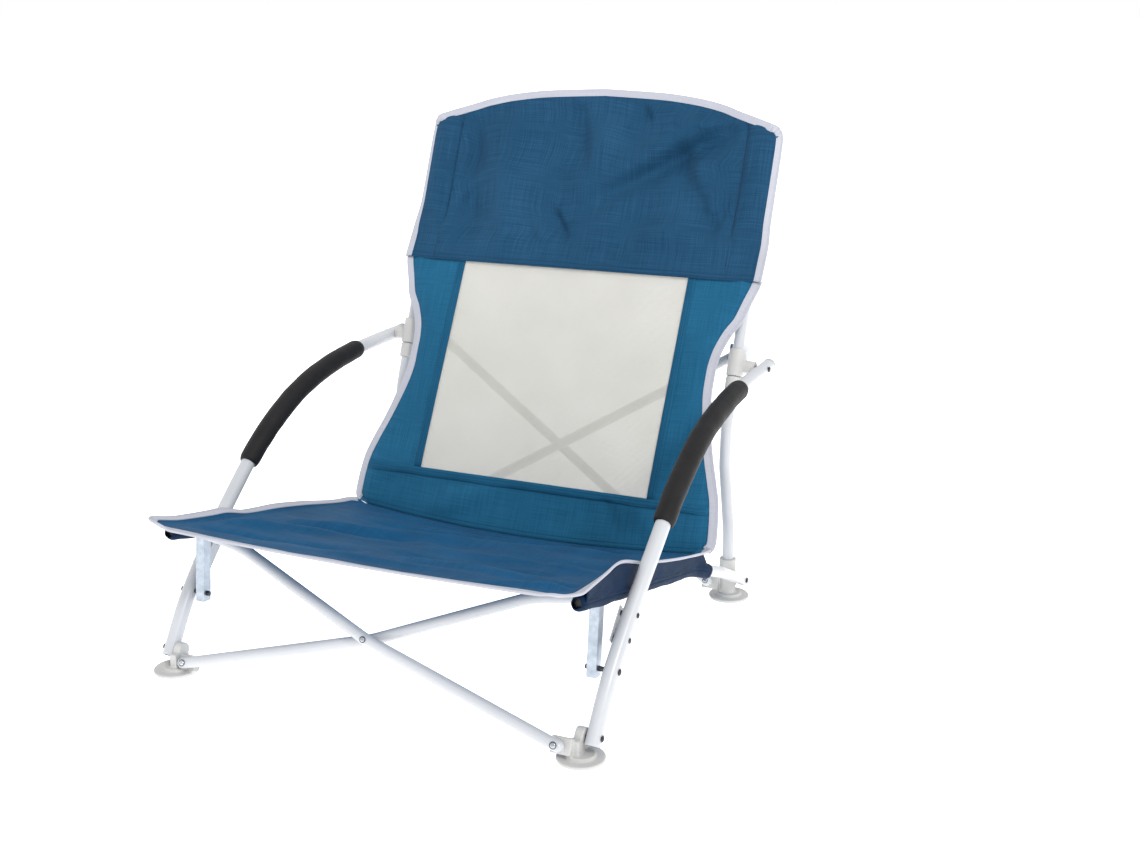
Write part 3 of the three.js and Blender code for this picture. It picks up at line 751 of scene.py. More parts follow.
def make_collars(side):
    name = side_name(side)
    length = (STOP_HEIGHTS[1] - STOP_HEIGHTS[0]) / math.cos(LEAN)
    bore = UPRIGHT_RADIUS + GAP
    ring = [(bore, 0), (COLLAR_RADIUS - 0.9, 0), (COLLAR_RADIUS - 0.2, 0.5), (COLLAR_RADIUS, 1.6)]
    ring += [(r, length - h) for r, h in ring[::-1]]
    start = on_upright(side, STOP_HEIGHTS[0])
    rings = [circle_ring(start + UP_LEAN * h, ACROSS, np.cross(UP_LEAN, ACROSS), r, 40) for r, h in ring]
    verts, faces = loft(rings, wrap=True)
    stop = make_mesh(f"stop_ring_{name}", verts, faces, WHITE_PLASTIC)
    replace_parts(ride(stop, f"{name}_side"), f"stop_collar_{name}")

    ear_end = ARM_X - ARM_RADIUS - GAP
    solids = [
        rod_solid(*[on_upright(side, z) for z in SLIDER_HEIGHTS], COLLAR_RADIUS + 0.7),
        rod_solid((side * UPRIGHT_X, *ARM_PIVOT), (side * ear_end, *ARM_PIVOT), 9.2),
        box_solid(np.array([side * 272.0, 568.0, 316.0]), (ACROSS, UP_LEAN, FORWARD_LEAN), (9, 5, 8)),
    ]
    cutter = rod_solid(on_upright(side, 290), on_upright(side, 360), bore)
    slider = moulded(f"sliding_collar_{name}", solids, WHITE_PLASTIC, [cutter])
    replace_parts(ride(slider, f"slider_{name}"), f"slider_collar_{name}")


def node_points(node):
    """A CAD node's corners in millimetres in the chair's frame."""
    corners = np.array([tuple(v.co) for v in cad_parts[node].data.vertices])
    return (corners - np.array([0.0, FRONT_LINE, 0.0])) / MM


def round_own_axis(node, direction):
    """A CAD pin's heights along a direction, its radii round its own axis, and a point of that axis."""
    points = node_points(node)
    heights = points @ direction
    flat = points - heights[:, None] * direction
    centre = (flat.min(0) + flat.max(0)) / 2
    centre -= direction * (centre @ direction)
    return heights, np.linalg.norm(flat - centre, axis=1), centre


# A fine head's size as a share of the CAD head's, and the stops of its dome.
HEAD_SHARE = 0.7
HEAD_DOME = ((0.78, 0.5), (0.66, 0.8), (0.4, 0.97))


def make_pin(node, direction, body, head_finish=None):
    """A fine bolt or rivet in a CAD pin's place: shank, washer and domed head."""
    direction = unit(direction)
    heights, radii, centre = round_own_axis(node, direction)
    low, high = heights.min(), heights.max()
    head_radius = radii.max() * HEAD_SHARE
    head_low = heights[radii > radii.max() * 0.97].min()
    head = (high - head_low) * HEAD_SHARE
    neck = head_low - low
    profile = [
        (2.6, 0),
        (3.0, 0.4),
        (3.0, neck),
        (head_radius, neck),
        (head_radius + 0.1, neck + 0.3),
        (head_radius, neck + 0.7),
        (head_radius * 0.8, neck + 0.75),
        *[(head_radius * share, neck + head * rise) for share, rise in HEAD_DOME],
        (0.2, neck + head),
    ]
    washer = [0, 0, 0, 1, 1, 1, 0, 0, 0, 0]
    name = node
    for stem in ("bolt", "rivet", "_pin"):
        name = name.replace(stem, stem + "_fine")
    finish = head_finish or DARK_ZINC
    pin = turned(name, profile, centre + direction * low, direction, finish, 24, (DARK_ZINC,), washer)
    pin.data.set_sharp_from_angle(angle=math.radians(40))
    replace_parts(ride(pin, body), node)


def make_pins(side):
    name = side_name(side)
    outward = ACROSS * side
    for stem, body in (
        ("rail_bolt", f"{name}_side"),
        ("arm_bolt", f"slider_{name}"),
        ("bracket_rivet_1", f"arm_{name}"),
        ("bracket_rivet_2", f"arm_{name}"),
        ("strut_bolt", f"arm_{name}"),
        ("leg_bolt", f"front_foot_{name}"),
    ):
        make_pin(f"{stem}_{name}", outward, body)
    make_pin(f"rear_bar_bolt_{name}", FORWARD_LEAN, f"{name}_side", BRIGHT_ZINC)
    make_pin(f"slider_fork_pin_{name}", FORWARD_LEAN, f"slider_{name}", BRIGHT_ZINC)
    make_pin(f"front_bar_bolt_{name}", FORWARD_LEAN, f"front_foot_{name}", BRIGHT_ZINC)


def make_nut(node, direction, body):
    """A hexagon nut with its thread end, in a CAD nut's place."""
    direction = unit(direction)
    heights, radii, centre = round_own_axis(node, direction)
    radius = radii.max()
    height = heights.max() - heights.min()
    profile = [(radius * 0.93, 0), (radius, 0.4), (radius, height - 0.5), (radius * 0.88, height)]
    profile += [(3.0, height), (3.0, height + 1.5), (2.4, height + 2.0)]
    nut = turned(f"{node}_fine", profile, centre + direction * heights.min(), direction, DARK_ZINC, 6)
    nut.data.polygons.foreach_set("use_smooth", [False] * len(nut.data.polygons))
    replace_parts(ride(nut, body), node)


def make_plugs(side):
    name = side_name(side)
    line = arm_line(side)
    outward = unit(line[-1] - line[-2])
    rim = ARM_RADIUS
    profile = [
        (rim - WALL - 0.4, -9),
        (rim - WALL - 0.4, 0.2),
        (rim, 0.2),
        (rim + 0.3, 0.9),
        (rim + 0.2, 2.4),
        (rim - 1.0, 3.6),
        (4.6, 3.9),
        (3.7, 3.3),
        (3.5, -6),
        (0.2, -6),
    ]
    # The bore in the plug's end, its wall and its floor, is dark plastic: painted shade in the hole.
    picked = [0, 0, 0, 0, 0, 0, 0, 1, 1]
    hole_painted_shade = (DARK_PLASTIC,)
    plug = turned(f"arm_end_plug_{name}", profile, line[-1], outward, WHITE_PLASTIC, 32, hole_painted_shade, picked)
    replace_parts(ride(plug, f"arm_{name}"), f"arm_plug_{name}")

    tip = np.array([side * RAIL_TIP_X, *RAIL_TIP])
    forward = unit(tip - np.array([side * RAIL_X, *RAIL_BEND]))
    profile = [(5.8, -9), (5.8, 0.2), (7.5, 0.2), (7.9, 1.0), (7.6, 2.4), (6.2, 3.6), (3.5, 4.1), (0.2, 4.2)]
    plug = turned(f"rail_end_plug_{name}", profile, tip, forward, DARK_PLASTIC, 32)
    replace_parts(ride(plug, f"seat_rail_{name}"), f"rail_plug_{name}")


def finish_kept_nodes():
    """CAD nodes whose shape stays: broken edges and their own finish."""
    for side in SIDES:
        name = side_name(side)
        for stem, finish in (
            ("slider_fork", ZINC),
            ("rail_strut", ZINC),
            ("leg_bracket", WHITE_PAINT),
            ("upright_cap", DARK_PLASTIC),
        ):
            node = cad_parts[f"{stem}_{name}"]
            node.data.materials.clear()
            node.data.materials.append(finish)
            bevel = node.modifiers.new("broken_edge", "BEVEL")
            bevel.width = 0.4 * MM
            bevel.segments = 2
            bevel.limit_method = "ANGLE"
            bevel.angle_limit = math.radians(40)


# ---------- the cloth's surfaces ----------

SEAT_FRONT = -33.0
CREASE = (421.0, 94.0)
WINDOW_LOW = 152.0
WINDOW_HIGH = 438.0
WINDOW_HALF = 177.0
HEAD_SEAM = 433.0
CORNER_Z = 632.0
CORNER_X = 273.0
STITCH_X = 227.0
TUNNEL_FROM = 488.0
SEAM_LAP = 4.0

panel_depth = through(
    [(94, 421), (110, 427), (152, 445), (228, 485), (293, 520), (350, 551), (395, 575), (446, 602.5)]
)
half_width = through(
    [(94, 273), (98, 277.5), (106, 280), (125, 279), (155, 275), (180, 267), (207, 257), (235, 248),
     (265, 241), (292, 237), (315, 237), (333, 239), (360, 249), (380, 262), (400, 269), (437, 280),
     (470, 280), (515, 277), (600, 277), (618, 276.5), (627, 275), (632, 273)]
)
top_height = through(
    [(0, 680), (91, 676), (145, 670), (189, 661), (208, 655), (254, 641.5), (265, 637.5), (273, 632)]
)
head_base = through([(433, 19.5), (470, 13.5), (505, 8.5), (560, 5.5), (632, 4.5), (690, 4.5)])
head_edge = through([(433, 15), (450, 11), (480, 4.5), (520, 1), (690, 0)])


def fold_lines(x, s, lines):
    """Soft creases between two points of the sheet, each with a width and a height that fades at its ends."""
    total = np.zeros(np.broadcast(x, s).shape)
    for start, end, width, height in lines:
        start, end = np.array(start, float), np.array(end, float)
        run = end - start
        length = np.linalg.norm(run)
        along = ((x - start[0]) * run[0] + (s - start[1]) * run[1]) / length
        aside = ((x - start[0]) * run[1] - (s - start[1]) * run[0]) / length
        fade = smooth_step(along, -0.15 * length, 0.3 * length)
        fade = fade * (1 - smooth_step(along, 0.7 * length, 1.15 * length))
        total = total + height * fade * np.exp(-((aside / width) ** 2))
    return total


HEAD_FOLDS = [
    ((218, 636), (-10, 512), 17, -5.5),
    ((196, 660), (30, 560), 22, 3.5),
    ((-45, 678), (-12, 560), 12, -3.0),
    ((-212, 640), (-186, 452), 20, -4.5),
    ((-150, 650), (-112, 452), 34, 6.0),
    ((20, 640), (-20, 540), 22, 3.0),
    ((110, 560), (60, 450), 26, -3.0),
    ((-56, 512), (-22, 470), 7, -3.2),
    ((-84, 505), (-48, 462), 9, 2.2),
    ((62, 672), (76, 632), 7, -3.0),
    ((214, 500), (150, 600), 14, 3.5),
    ((228, 560), (190, 480), 10, -3.0),
    ((60, 470), (170, 500), 16, 2.6),
    ((-180, 560), (-235, 500), 12, 3.0),
    ((120, 620), (150, 540), 14, -2.4),
]
PANEL_FOLDS = [
    ((-250, 420), (-190, 330), 14, 2.0),
    ((-240, 300), (-200, 180), 16, -2.5),
    ((245, 410), (190, 320), 14, 2.0),
    ((230, 300), (215, 190), 14, -2.4),
    ((-150, 108), (-40, 138), 12, 2.6),
    ((110, 146), (150, 104), 8, -2.6),
    ((150, 148), (215, 100), 12, 2.0),
    ((40, 108), (110, 130), 12, -1.8),
    ((-250, 118), (-190, 140), 10, -2.0),
]
SEAT_FOLDS = [
    ((-262, 60), (-120, 200), 17, 5.0),
    ((-255, 110), (-60, 245), 15, -5.5),
    ((-250, 20), (-60, 80), 13, -4.0),
    ((-230, 180), (40, 300), 18, 5.0),
    ((-180, 300), (150, 365), 14, -4.5),
    ((-100, 20), (150, 30), 12, 3.0),
    ((-40, 130), (200, 110), 14, -5.0),
    ((-20, 190), (235, 150), 15, 5.0),
    ((0, 80), (220, 60), 11, 4.0),
    ((60, 250), (255, 210), 16, -4.0),
    ((80, 320), (255, 290), 14, 4.0),
    ((170, 10), (262, 50), 10, -4.5),
    ((150, -10), (262, 20), 9, 3.5),
    ((-210, 370), (-60, 395), 10, 3.0),
    ((-60, 385), (200, 400), 10, -2.5),
]
HEAD_RIPPLE_SEED = 3.1
PANEL_RIPPLE_SEED = 8.4
SEAT_RIPPLE_SEED = 5.7


def head_places(x, z):
    """Shares of the headrest's shape at a place: across its sleeve, closed at the top, and tunnelled."""
    reach = np.abs(x)
    edge_x = np.where(z > CORNER_Z, CORNER_X, half_width(np.minimum(z, CORNER_Z)))
    across = np.clip((reach - STITCH_X) / (edge_x - STITCH_X), 0, 1)
    below_top = top_height(np.minimum(reach, CORNER_X)) - z
    aside = smooth_step(reach, 205, 245)
    closed = 1 - smooth_step(below_top, 10 - 7 * aside, 30 - 20 * aside)
    tunnel = smooth_step(z, TUNNEL_FROM - 14, TUNNEL_FROM + 8)
    over_cap = smooth_step(reach, 165, 250) * (1 - smooth_step(reach, 263, CORNER_X))
    rim_lift = head_base(z) * 0.5 * (1 - over_cap) + 9.5 * over_cap
    return reach, across, closed, tunnel, rim_lift


def head_front_lift(x, z):
    """How far the headrest's front layer stands forward of the uprights' plane."""
    reach, across, closed, tunnel, rim_lift = head_places(x, z)
    base, rim = head_base(z), head_edge(z)
    bulge = np.maximum(2.0, 12.2 - (base * 0.45 + rim * 0.55)) * smooth_step(z, 433, 478)
    arch = np.sin(math.pi * across) ** 0.75
    soft = np.where(across < 0.5, 0.7 + 0.3 * np.sin(math.pi * across), arch)
    sleeve = base * (1 - across) + rim * across + bulge * (arch * tunnel + soft * (1 - tunnel))
    slack = smooth_step(z, 436, 470) * (1 - smooth_step(z, 640, 684) * 0.6)
    middle = base - 3.5 * (1 - (x / STITCH_X) ** 2) * slack
    middle = middle + bulge * 0.7 * (1 - tunnel) * np.exp(-(((STITCH_X - reach) / 34) ** 2))
    folds = 3.1 * fold_lines(x, z, HEAD_FOLDS) + 2.6 * ripple(x, z, 70, HEAD_RIPPLE_SEED)
    folds = folds * smooth_step(STITCH_X - reach, 0, 26) * smooth_step(z, 434, 452)
    creased = 2.0 * ripple(x, z, 24, HEAD_RIPPLE_SEED + 1) * np.sin(math.pi * across)
    creased = creased * (1 - smooth_step(z, 500, 570))
    pucker = 2.6 * np.exp(-(((z - TUNNEL_FROM) / 9) ** 2) - ((reach - STITCH_X - 9) / 14) ** 2)
    groove = 2.2 * tunnel * np.exp(-(((reach - STITCH_X) / 4) ** 2))
    forward = np.where(reach > STITCH_X, sleeve + creased, middle + folds) + pucker - groove
    return forward * (1 - closed) + (rim_lift + 0.9) * closed


def head_front(x, z):
    """Depth of the headrest's front layer."""
    x, z = arrays(x, z)
    return upright_y(z) - head_front_lift(x, z) / math.cos(LEAN)


def head_back(x, z):
    """Depth of the headrest's back layer."""
    x, z = arrays(x, z)
    reach, across, closed, _, rim_lift = head_places(x, z)
    base, rim = np.minimum(head_base(z) - 3.0, 2.0), head_edge(z) - 1.6
    sleeve = base * (1 - across) + rim * across - 13.5 * np.sin(math.pi * across) ** 0.75
    middle = base - 3.0 * (1 - (x / STITCH_X) ** 2) - 2.5
    middle = middle + 1.4 * ripple(x, z, 60, HEAD_RIPPLE_SEED + 4) * smooth_step(STITCH_X - reach, 0, 30)
    blend = smooth_step(STITCH_X - reach, 0, 12)
    forward = np.where(reach > STITCH_X, sleeve, base * (1 - blend) + middle * blend)
    forward = forward * (1 - closed) + (rim_lift - 0.9) * closed
    forward = np.where(across > 0.97, forward, np.minimum(forward, head_front_lift(x, z) - 1.6))
    return upright_y(z) - forward / math.cos(LEAN)


def head_row(v, u):
    """Height at a share v up the headrest, for a share u across; the top edge arches."""
    side_z = HEAD_SEAM + (CORNER_Z - HEAD_SEAM) * v
    return side_z + (top_height(np.abs(u) * CORNER_X) - CORNER_Z) * v**3


def panel(x, z):
    """Depth of the lower back panel."""
    x, z = arrays(x, z)
    curl = 7.0 * smooth_step(np.abs(x), half_width(z) - 26, half_width(z))
    beside = smooth_step(np.abs(x), WINDOW_HALF, WINDOW_HALF + 14) + smooth_step(WINDOW_LOW - z, 0, 14)
    folds = 1.7 * fold_lines(x, z, PANEL_FOLDS) + 1.4 * ripple(x, z, 45, PANEL_RIPPLE_SEED)
    forward = folds * np.clip(beside, 0, 1) * smooth_step(z, 96, 112)
    return panel_depth(z) + curl - forward


seat_half = through(
    [(-33, 258), (-32, 266), (-29, 273), (-23, 279), (-12, 283), (20, 281), (90, 277), (160, 279),
     (300, 282), (404, 282), (414, 279), (421, 273)]
)
edge_lift_right = through(
    [(-33, 2), (18, 10), (62, 17), (109, 26), (168, 19), (252, 13), (326, 10), (421, 8)]
)
edge_lift_left = through(
    [(-33, 4), (20, 6), (77, 9), (107, 11), (157, 5), (235, 8), (293, 7), (367, 4), (421, 4)]
)
seat_sag = through([(-33, 4.5), (60, 9), (220, 13), (360, 6), (421, 0)])


def rail_height(y):
    return RAIL_TIP[1] + (y - RAIL_TIP[0]) * (RAIL_BEND[1] - RAIL_TIP[1]) / (RAIL_BEND[0] - RAIL_TIP[0])


def seat(x, y):
    """Height of the seat cloth: over the rails, sagging between them, its side edges curled up."""
    x, y = arrays(x, y)
    reach = np.abs(x)
    line = rail_height(y) + 10.0
    sag = seat_sag(y) * np.clip(1 - (reach / 262) ** 2, 0, 1)
    rise = np.where(x > 0, edge_lift_right(y), edge_lift_left(y))
    curl = rise * smooth_step(reach, seat_half(y) - 17, seat_half(y))
    folds = 1.9 * fold_lines(x, y, SEAT_FOLDS) + 2.6 * ripple(x, y * 1.8, 50, SEAT_RIPPLE_SEED)
    folds = folds * smooth_step(262 - reach, 0, 24) * smooth_step(y, SEAT_FRONT, SEAT_FRONT + 16)
    corner_lift = 5.0 * smooth_step(-x, 250, 284) * (1 - smooth_step(y, -33, 30))
    fade = 1 - smooth_step(y, 400, 421)
    made = line - sag + curl + (folds + corner_lift) * fade
    return made + (CREASE[1] - rail_height(CREASE[0]) - 10.0) * smooth_step(y, 380, 421)


def sink_crease(points, share):
    """The seam between back and seat hangs forward and down in its middle."""
    points = np.array(points, float)
    hang = 15.0 * np.clip(1 - (points[..., 0] / 276) ** 2, 0, 1) * share
    points[..., 1] -= hang * 0.9
    points[..., 2] -= hang * 0.75
    return points


# ---------- cloth pieces ----------

CLOTH_THICKNESS = 1.1
TAPE_WIDTH = 9.0
# The cloth beside the crease hangs with it: the seat from this depth on, the back up to this height.
SEAT_HANGS_FROM = 310.0
PANEL_HANGS_TO = WINDOW_LOW - 12


def sunk_panel(points, z):
    """Back panel points at a height, hung with the crease."""
    return sink_crease(points, 1 - smooth_step(z, CREASE[1], PANEL_HANGS_TO))


def sunk_seat(points):
    return sink_crease(points, smooth_step(points[:, 1], SEAT_HANGS_FROM, CREASE[0]))


def sheet_mesh(name, grid, material, thickness=CLOTH_THICKNESS, holes=None):
    """A cloth sheet from a grid of points; its UVs are its own lengths in metres."""
    grid = np.asarray(grid, float)
    rows, columns = grid.shape[:2]
    across = running_lengths(grid, 1)
    across -= across[:, columns // 2 : columns // 2 + 1]
    up = running_lengths(grid)
    faces = []
    for i in range(rows - 1):
        for j in range(columns - 1):
            if holes is None or not holes(i, j):
                a = i * columns + j
                faces.append((a, a + 1, a + columns + 1, a + columns))
    used = sorted({i for face in faces for i in face})
    renumber = {old: new for new, old in enumerate(used)}
    faces = [tuple(renumber[i] for i in face) for face in faces]
    uvs = np.stack([across.ravel(), up.ravel()], axis=1)[used] * MM
    piece = make_mesh(name, grid.reshape(-1, 3)[used], faces, material, uvs)
    solid = piece.modifiers.new("cloth", "SOLIDIFY")
    solid.thickness = thickness * MM
    solid.offset = 0.0
    return settle(piece)


def flat_size(grid):
    """The flat width and length of a grid of points, in metres, and its area."""
    grid = np.asarray(grid, float)
    width = running_lengths(grid, 1)[:, -1].max() * MM
    length = running_lengths(grid)[-1].max() * MM
    diagonals = np.cross(grid[1:, 1:] - grid[:-1, :-1], grid[1:, :-1] - grid[:-1, 1:])
    area = np.linalg.norm(diagonals, axis=2).sum() / 2 * MM * MM
    return width, length, area


def squash_across_back(piece):
    """Gives the piece a mesh of its own."""
    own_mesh(piece)


def squash_across_seat(piece):
    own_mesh(piece)


def add_on_back(piece):
    """Trim of the back: rides with it and gets a mesh of its own."""
    ride(piece, "left_side")
    squash_across_back(piece)


def squash_up(piece):
    """Gives the piece a mesh of its own."""
    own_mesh(piece)


def declare(grid, hole_area=0.0):
    width, length, area = flat_size(grid)
    area = min(area - hole_area, width * length)


def tape_mesh(name, edge, inner, width=TAPE_WIDTH, thickness=2.6, overhang=1.2):
    """A binding tape folded over an edge; inner is a line beside the edge, on the cloth."""
    edge, inner = np.asarray(edge, float), np.asarray(inner, float)
    tangents = unit(np.gradient(edge, axis=0))
    inward = inner - edge
    inward = unit(inward - tangents * np.sum(inward * tangents, axis=1, keepdims=True))
    normals = np.cross(tangents, inward)
    turns = [math.radians(angle) for angle in (90, 55, 20, -20, -55, -90)]
    fold = [(-overhang - math.cos(angle), math.sin(angle)) for angle in turns]
    flat = [(width * share, -1.0 if share < 0.9 else -0.75) for share in (0.25, 0.5, 0.75, 0.95, 1.0)]
    section = [*fold, *flat, *[(a, -b) for a, b in flat[::-1]]]
    halves = np.broadcast_to(np.asarray(thickness, float) / 2, len(edge))
    rings = []
    for p, n, s, half in zip(edge, normals, inward, halves):
        swell = half * (1 + 0.14 * noise.noise(Vector(p / 30.0)))
        rings.append(np.array([p + s * a + n * b * swell for a, b in section]))
    verts, faces = loft(rings)
    around = len(section)
    lengths, outline = running_lengths(edge), running_lengths(section)
    uvs = [(outline[j] * MM, lengths[i] * MM) for i in range(len(rings)) for j in range(around)]
    return make_mesh(name, verts, faces, BINDING, uvs)


def stitch_mesh(name, line, normals, length=2.6, pitch=3.6, width=0.5, lift=0.9):
    """A row of small stitches along a line, each a slim pointed grain of thread."""
    line, normals = np.asarray(line, float), unit(normals)
    lengths = running_lengths(line)

    def at(places, rows):
        return np.stack([np.interp(places, lengths, column) for column in rows.T], axis=1)

    places = np.arange(pitch, lengths[-1] - pitch, pitch)
    centres = at(places, line)
    ups = unit(at(places, normals))
    along = unit(at(places + 0.5, line) - centres)
    asides = np.cross(along, ups)
    verts, faces = [], []
    for c, t, s, u in zip(centres, along, asides, ups):
        base = len(verts)
        c = c + u * lift
        waist = [c + s * width, c + u * width * 0.8, c - s * width, c - u * width * 0.8]
        verts += [c - t * length / 2, *waist, c + t * length / 2]
        faces += [(base, base + k, base + k % 4 + 1) for k in (1, 2, 3, 4)]
        faces += [(base + 5, base + k % 4 + 1, base + k) for k in (1, 2, 3, 4)]
    return make_mesh(name, verts, faces, THREAD_BLUE, [(0.0, 0.0)] * len(verts))


def depth_grid(depth, xs, zs):
    """Points at x and z values with a depth function."""
    xs, zs = arrays(xs, zs)
    return np.stack([xs, depth(xs, zs), zs], axis=-1)


def seat_grid(xs, ys):
    """Points of the seat's surface at x and y values."""
    xs, ys = arrays(xs, ys)
    return np.stack([xs, ys, seat(xs, ys)], axis=-1)


def surface_normals(line, side_line):
    tangents = unit(np.gradient(np.asarray(line, float), axis=0))
    return unit(np.cross(tangents, np.asarray(side_line, float) - np.asarray(line, float)))


def facing(normals, towards):
    """The same normals, turned to the side that looks along a direction."""
    signs = np.sign(normals @ np.asarray(towards, float))
    signs[signs == 0] = 1
    return normals * signs[:, None]


def stitch_row(name, line, beside, **sizes):
    """Stitches along a line, on the side of the cloth that looks forward; beside is a line next to it."""
    return stitch_mesh(name, line, facing(surface_normals(line, beside), FORWARD_LEAN), **sizes)


def make_headrest():
    u = np.linspace(-1, 1, 121)
    v = np.linspace(0, 1, 56)
    share = STITCH_X / CORNER_X
    uu, vv = np.meshgrid(u * share, v)
    zs = head_row(vv, uu)
    xs = np.sign(uu) * np.abs(u)[None, :] * STITCH_X
    lap_xs = np.sign(uu) * np.abs(u)[None, :] * (STITCH_X + SEAM_LAP)
    front_grid = depth_grid(head_front, lap_xs, zs)
    front = sheet_mesh("headrest_front", front_grid, HEAD_BLUE)
    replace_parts(ride(front, "left_side"), "back_sling")
    back_grid = depth_grid(head_back, xs, zs)
    back = sheet_mesh("headrest_back", back_grid, HEAD_BLUE)
    ride(back, "left_side")
    declare(front_grid)
    declare(back_grid)
    squash_across_back(front)
    squash_across_back(back)

    for side in SIDES:
        name = side_name(side)
        wide = np.linspace(0, 1, 15)
        rows = []
        for share_up in v:
            side_z = HEAD_SEAM + (CORNER_Z - HEAD_SEAM) * share_up
            edge_x = half_width(side_z)
            reach = STITCH_X + (edge_x - STITCH_X) * wide
            row_u = side * (share + (1 - share) * wide)
            z = head_row(share_up, row_u)
            x = side * reach
            layer_back = depth_grid(head_back, x, z)[::-1]
            rows.append(np.concatenate([depth_grid(head_front, x, z), layer_back[1:]]))
        grid = np.array(rows)
        sleeve = sheet_mesh(f"headrest_sleeve_{name}", grid, HEAD_BLUE)
        ride(sleeve, f"{name}_side")
        declare(grid)
        squash_up(sleeve)
        over = (grid[-1, 13:10:-1] + grid[-1, 15:18]) / 2
        edge = np.concatenate([grid[:-1, 14], over])
        inner = np.concatenate([grid[:-1, 12], over - UP_LEAN * 10.0])
        thickness = 2.6 + 3.4 * smooth_step(edge[:, 2], CORNER_Z - 10, CORNER_Z)
        tape = tape_mesh(f"headrest_side_tape_{name}", edge, inner, thickness=thickness)
        tall = grid[grid[:, 0, 2] > TUNNEL_FROM]
        stitches = stitch_row(f"sleeve_stitches_{name}", tall[:, 0], tall[:, 1])
        for trim in (tape, stitches):
            ride(trim, f"{name}_side")
            squash_up(trim)

    top_u = np.linspace(-1, 1, 161) * 0.985
    top_z = head_row(1.0, top_u)
    top_x = top_u * CORNER_X
    edge = np.stack([top_x, head_front(top_x, top_z) * 0.5 + head_back(top_x, top_z) * 0.5, top_z], axis=-1)
    inner = np.stack([top_x * 0.96, edge[:, 1] - 10.0 * math.tan(LEAN), top_z - 10.0], axis=-1)
    thickness = 4.6 + 4.5 * smooth_step(np.abs(top_u), 0.93, 0.98)
    add_on_back(tape_mesh("headrest_top_tape", edge, inner, thickness=thickness))

    for index, rise in enumerate((2.5, 7.0)):
        line = depth_grid(head_front, np.linspace(-278, 278, 140), HEAD_SEAM + rise)
        add_on_back(stitch_row(f"headrest_seam_stitches_{index + 1}", line, line + np.array([0, 2.0, 4.0])))


ROWS_BELOW = 13
ROWS_BESIDE = 61
COLUMNS_ASIDE = 17
COLUMNS_ACROSS = 59


def window_rows():
    """Heights of the back panel's rows, with rows on the window's edges."""
    below = np.linspace(CREASE[1], WINDOW_LOW, ROWS_BELOW + 1)
    beside = np.linspace(WINDOW_LOW, WINDOW_HIGH, ROWS_BESIDE + 1)
    return np.concatenate([below, beside[1:], [WINDOW_HIGH + 6.0]])


def make_back_panel():
    zs = window_rows()
    rows = []
    for z in zs:
        edge = float(half_width(z))
        aside = np.linspace(WINDOW_HALF, edge, COLUMNS_ASIDE + 1)
        across = np.linspace(-WINDOW_HALF, WINDOW_HALF, COLUMNS_ACROSS + 1)
        flat = depth_grid(panel, np.concatenate([-aside[::-1], across[1:-1], aside]), z)
        flat[:, 1] += 4.0 * smooth_step(z, HEAD_SEAM, WINDOW_HIGH)
        rows.append(sunk_panel(flat, z))
    grid = np.array(rows)
    first, last = ROWS_BELOW, ROWS_BELOW + ROWS_BESIDE
    left, right = COLUMNS_ASIDE, COLUMNS_ASIDE + COLUMNS_ACROSS

    def in_window(i, j):
        return first <= i < last and left <= j < right

    sheet = sheet_mesh("back_panel", grid, PANEL_BLUE, holes=in_window)
    ride(sheet, "left_side")
    opening = flat_size(grid[first : last + 1, left : right + 1])[2]
    declare(grid, hole_area=opening)
    squash_across_back(sheet)

    margin = 5
    net_zs = np.linspace(WINDOW_LOW - 4, WINDOW_HIGH + 4, 60)
    net_xs = np.linspace(-WINDOW_HALF - margin, WINDOW_HALF + margin, 74)
    xx, zz = np.meshgrid(net_xs, net_zs)
    net_grid = np.stack([xx, panel_depth(zz) + 1.3 + 0.7 * ripple(xx, zz, 70, 2.2), zz], axis=-1)
    mesh = sheet_mesh("back_window_mesh", net_grid, NET, thickness=0.6)
    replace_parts(ride(mesh, "left_side"), "back_mesh")
    declare(net_grid)
    squash_across_back(mesh)

    hem = 11.0
    for label, low, high, x_low, x_high in (
        ("bottom", WINDOW_LOW - hem, WINDOW_LOW, -267.0, 267.0),
        ("left", WINDOW_LOW, WINDOW_HIGH - 2, -WINDOW_HALF - hem, -WINDOW_HALF),
        ("right", WINDOW_LOW, WINDOW_HIGH - 2, WINDOW_HALF, WINDOW_HALF + hem),
    ):
        xs = np.linspace(x_low, x_high, max(4, int((x_high - x_low) / 6)))
        heights = np.linspace(low, high, max(4, int((high - low) / 6)))
        xx, zz = np.meshgrid(xs, heights)
        strip = np.stack([xx, panel(xx, zz) - 1.1, zz], axis=-1)
        tape = sheet_mesh(f"window_hem_{label}", strip, HEM_BLUE, 0.9)
        ride(tape, "left_side")
        declare(strip)
        squash_across_back(tape)
        lines = strip if label == "bottom" else strip.swapaxes(0, 1)
        for index, (line, beside) in enumerate(((lines[1], lines[2]), (lines[-2], lines[-1]))):
            add_on_back(stitch_row(f"hem_stitches_{label}_{index + 1}", line, beside, lift=0.6))

    for side in SIDES:
        below_seam = grid[:, 0, 2] < HEAD_SEAM + 2
        column = grid[below_seam, -1 if side > 0 else 0]
        beside = grid[below_seam, -4 if side > 0 else 3]
        add_on_back(tape_mesh(f"back_side_tape_{side_name(side)}", column, beside, 10.5))

    seam_z = CREASE[1] + 7.0
    line = sunk_panel(depth_grid(panel, np.linspace(-272, 272, 150), seam_z), seam_z)
    add_on_back(stitch_row("crease_stitches", line, line + np.array([0, 2.0, 5.0])))


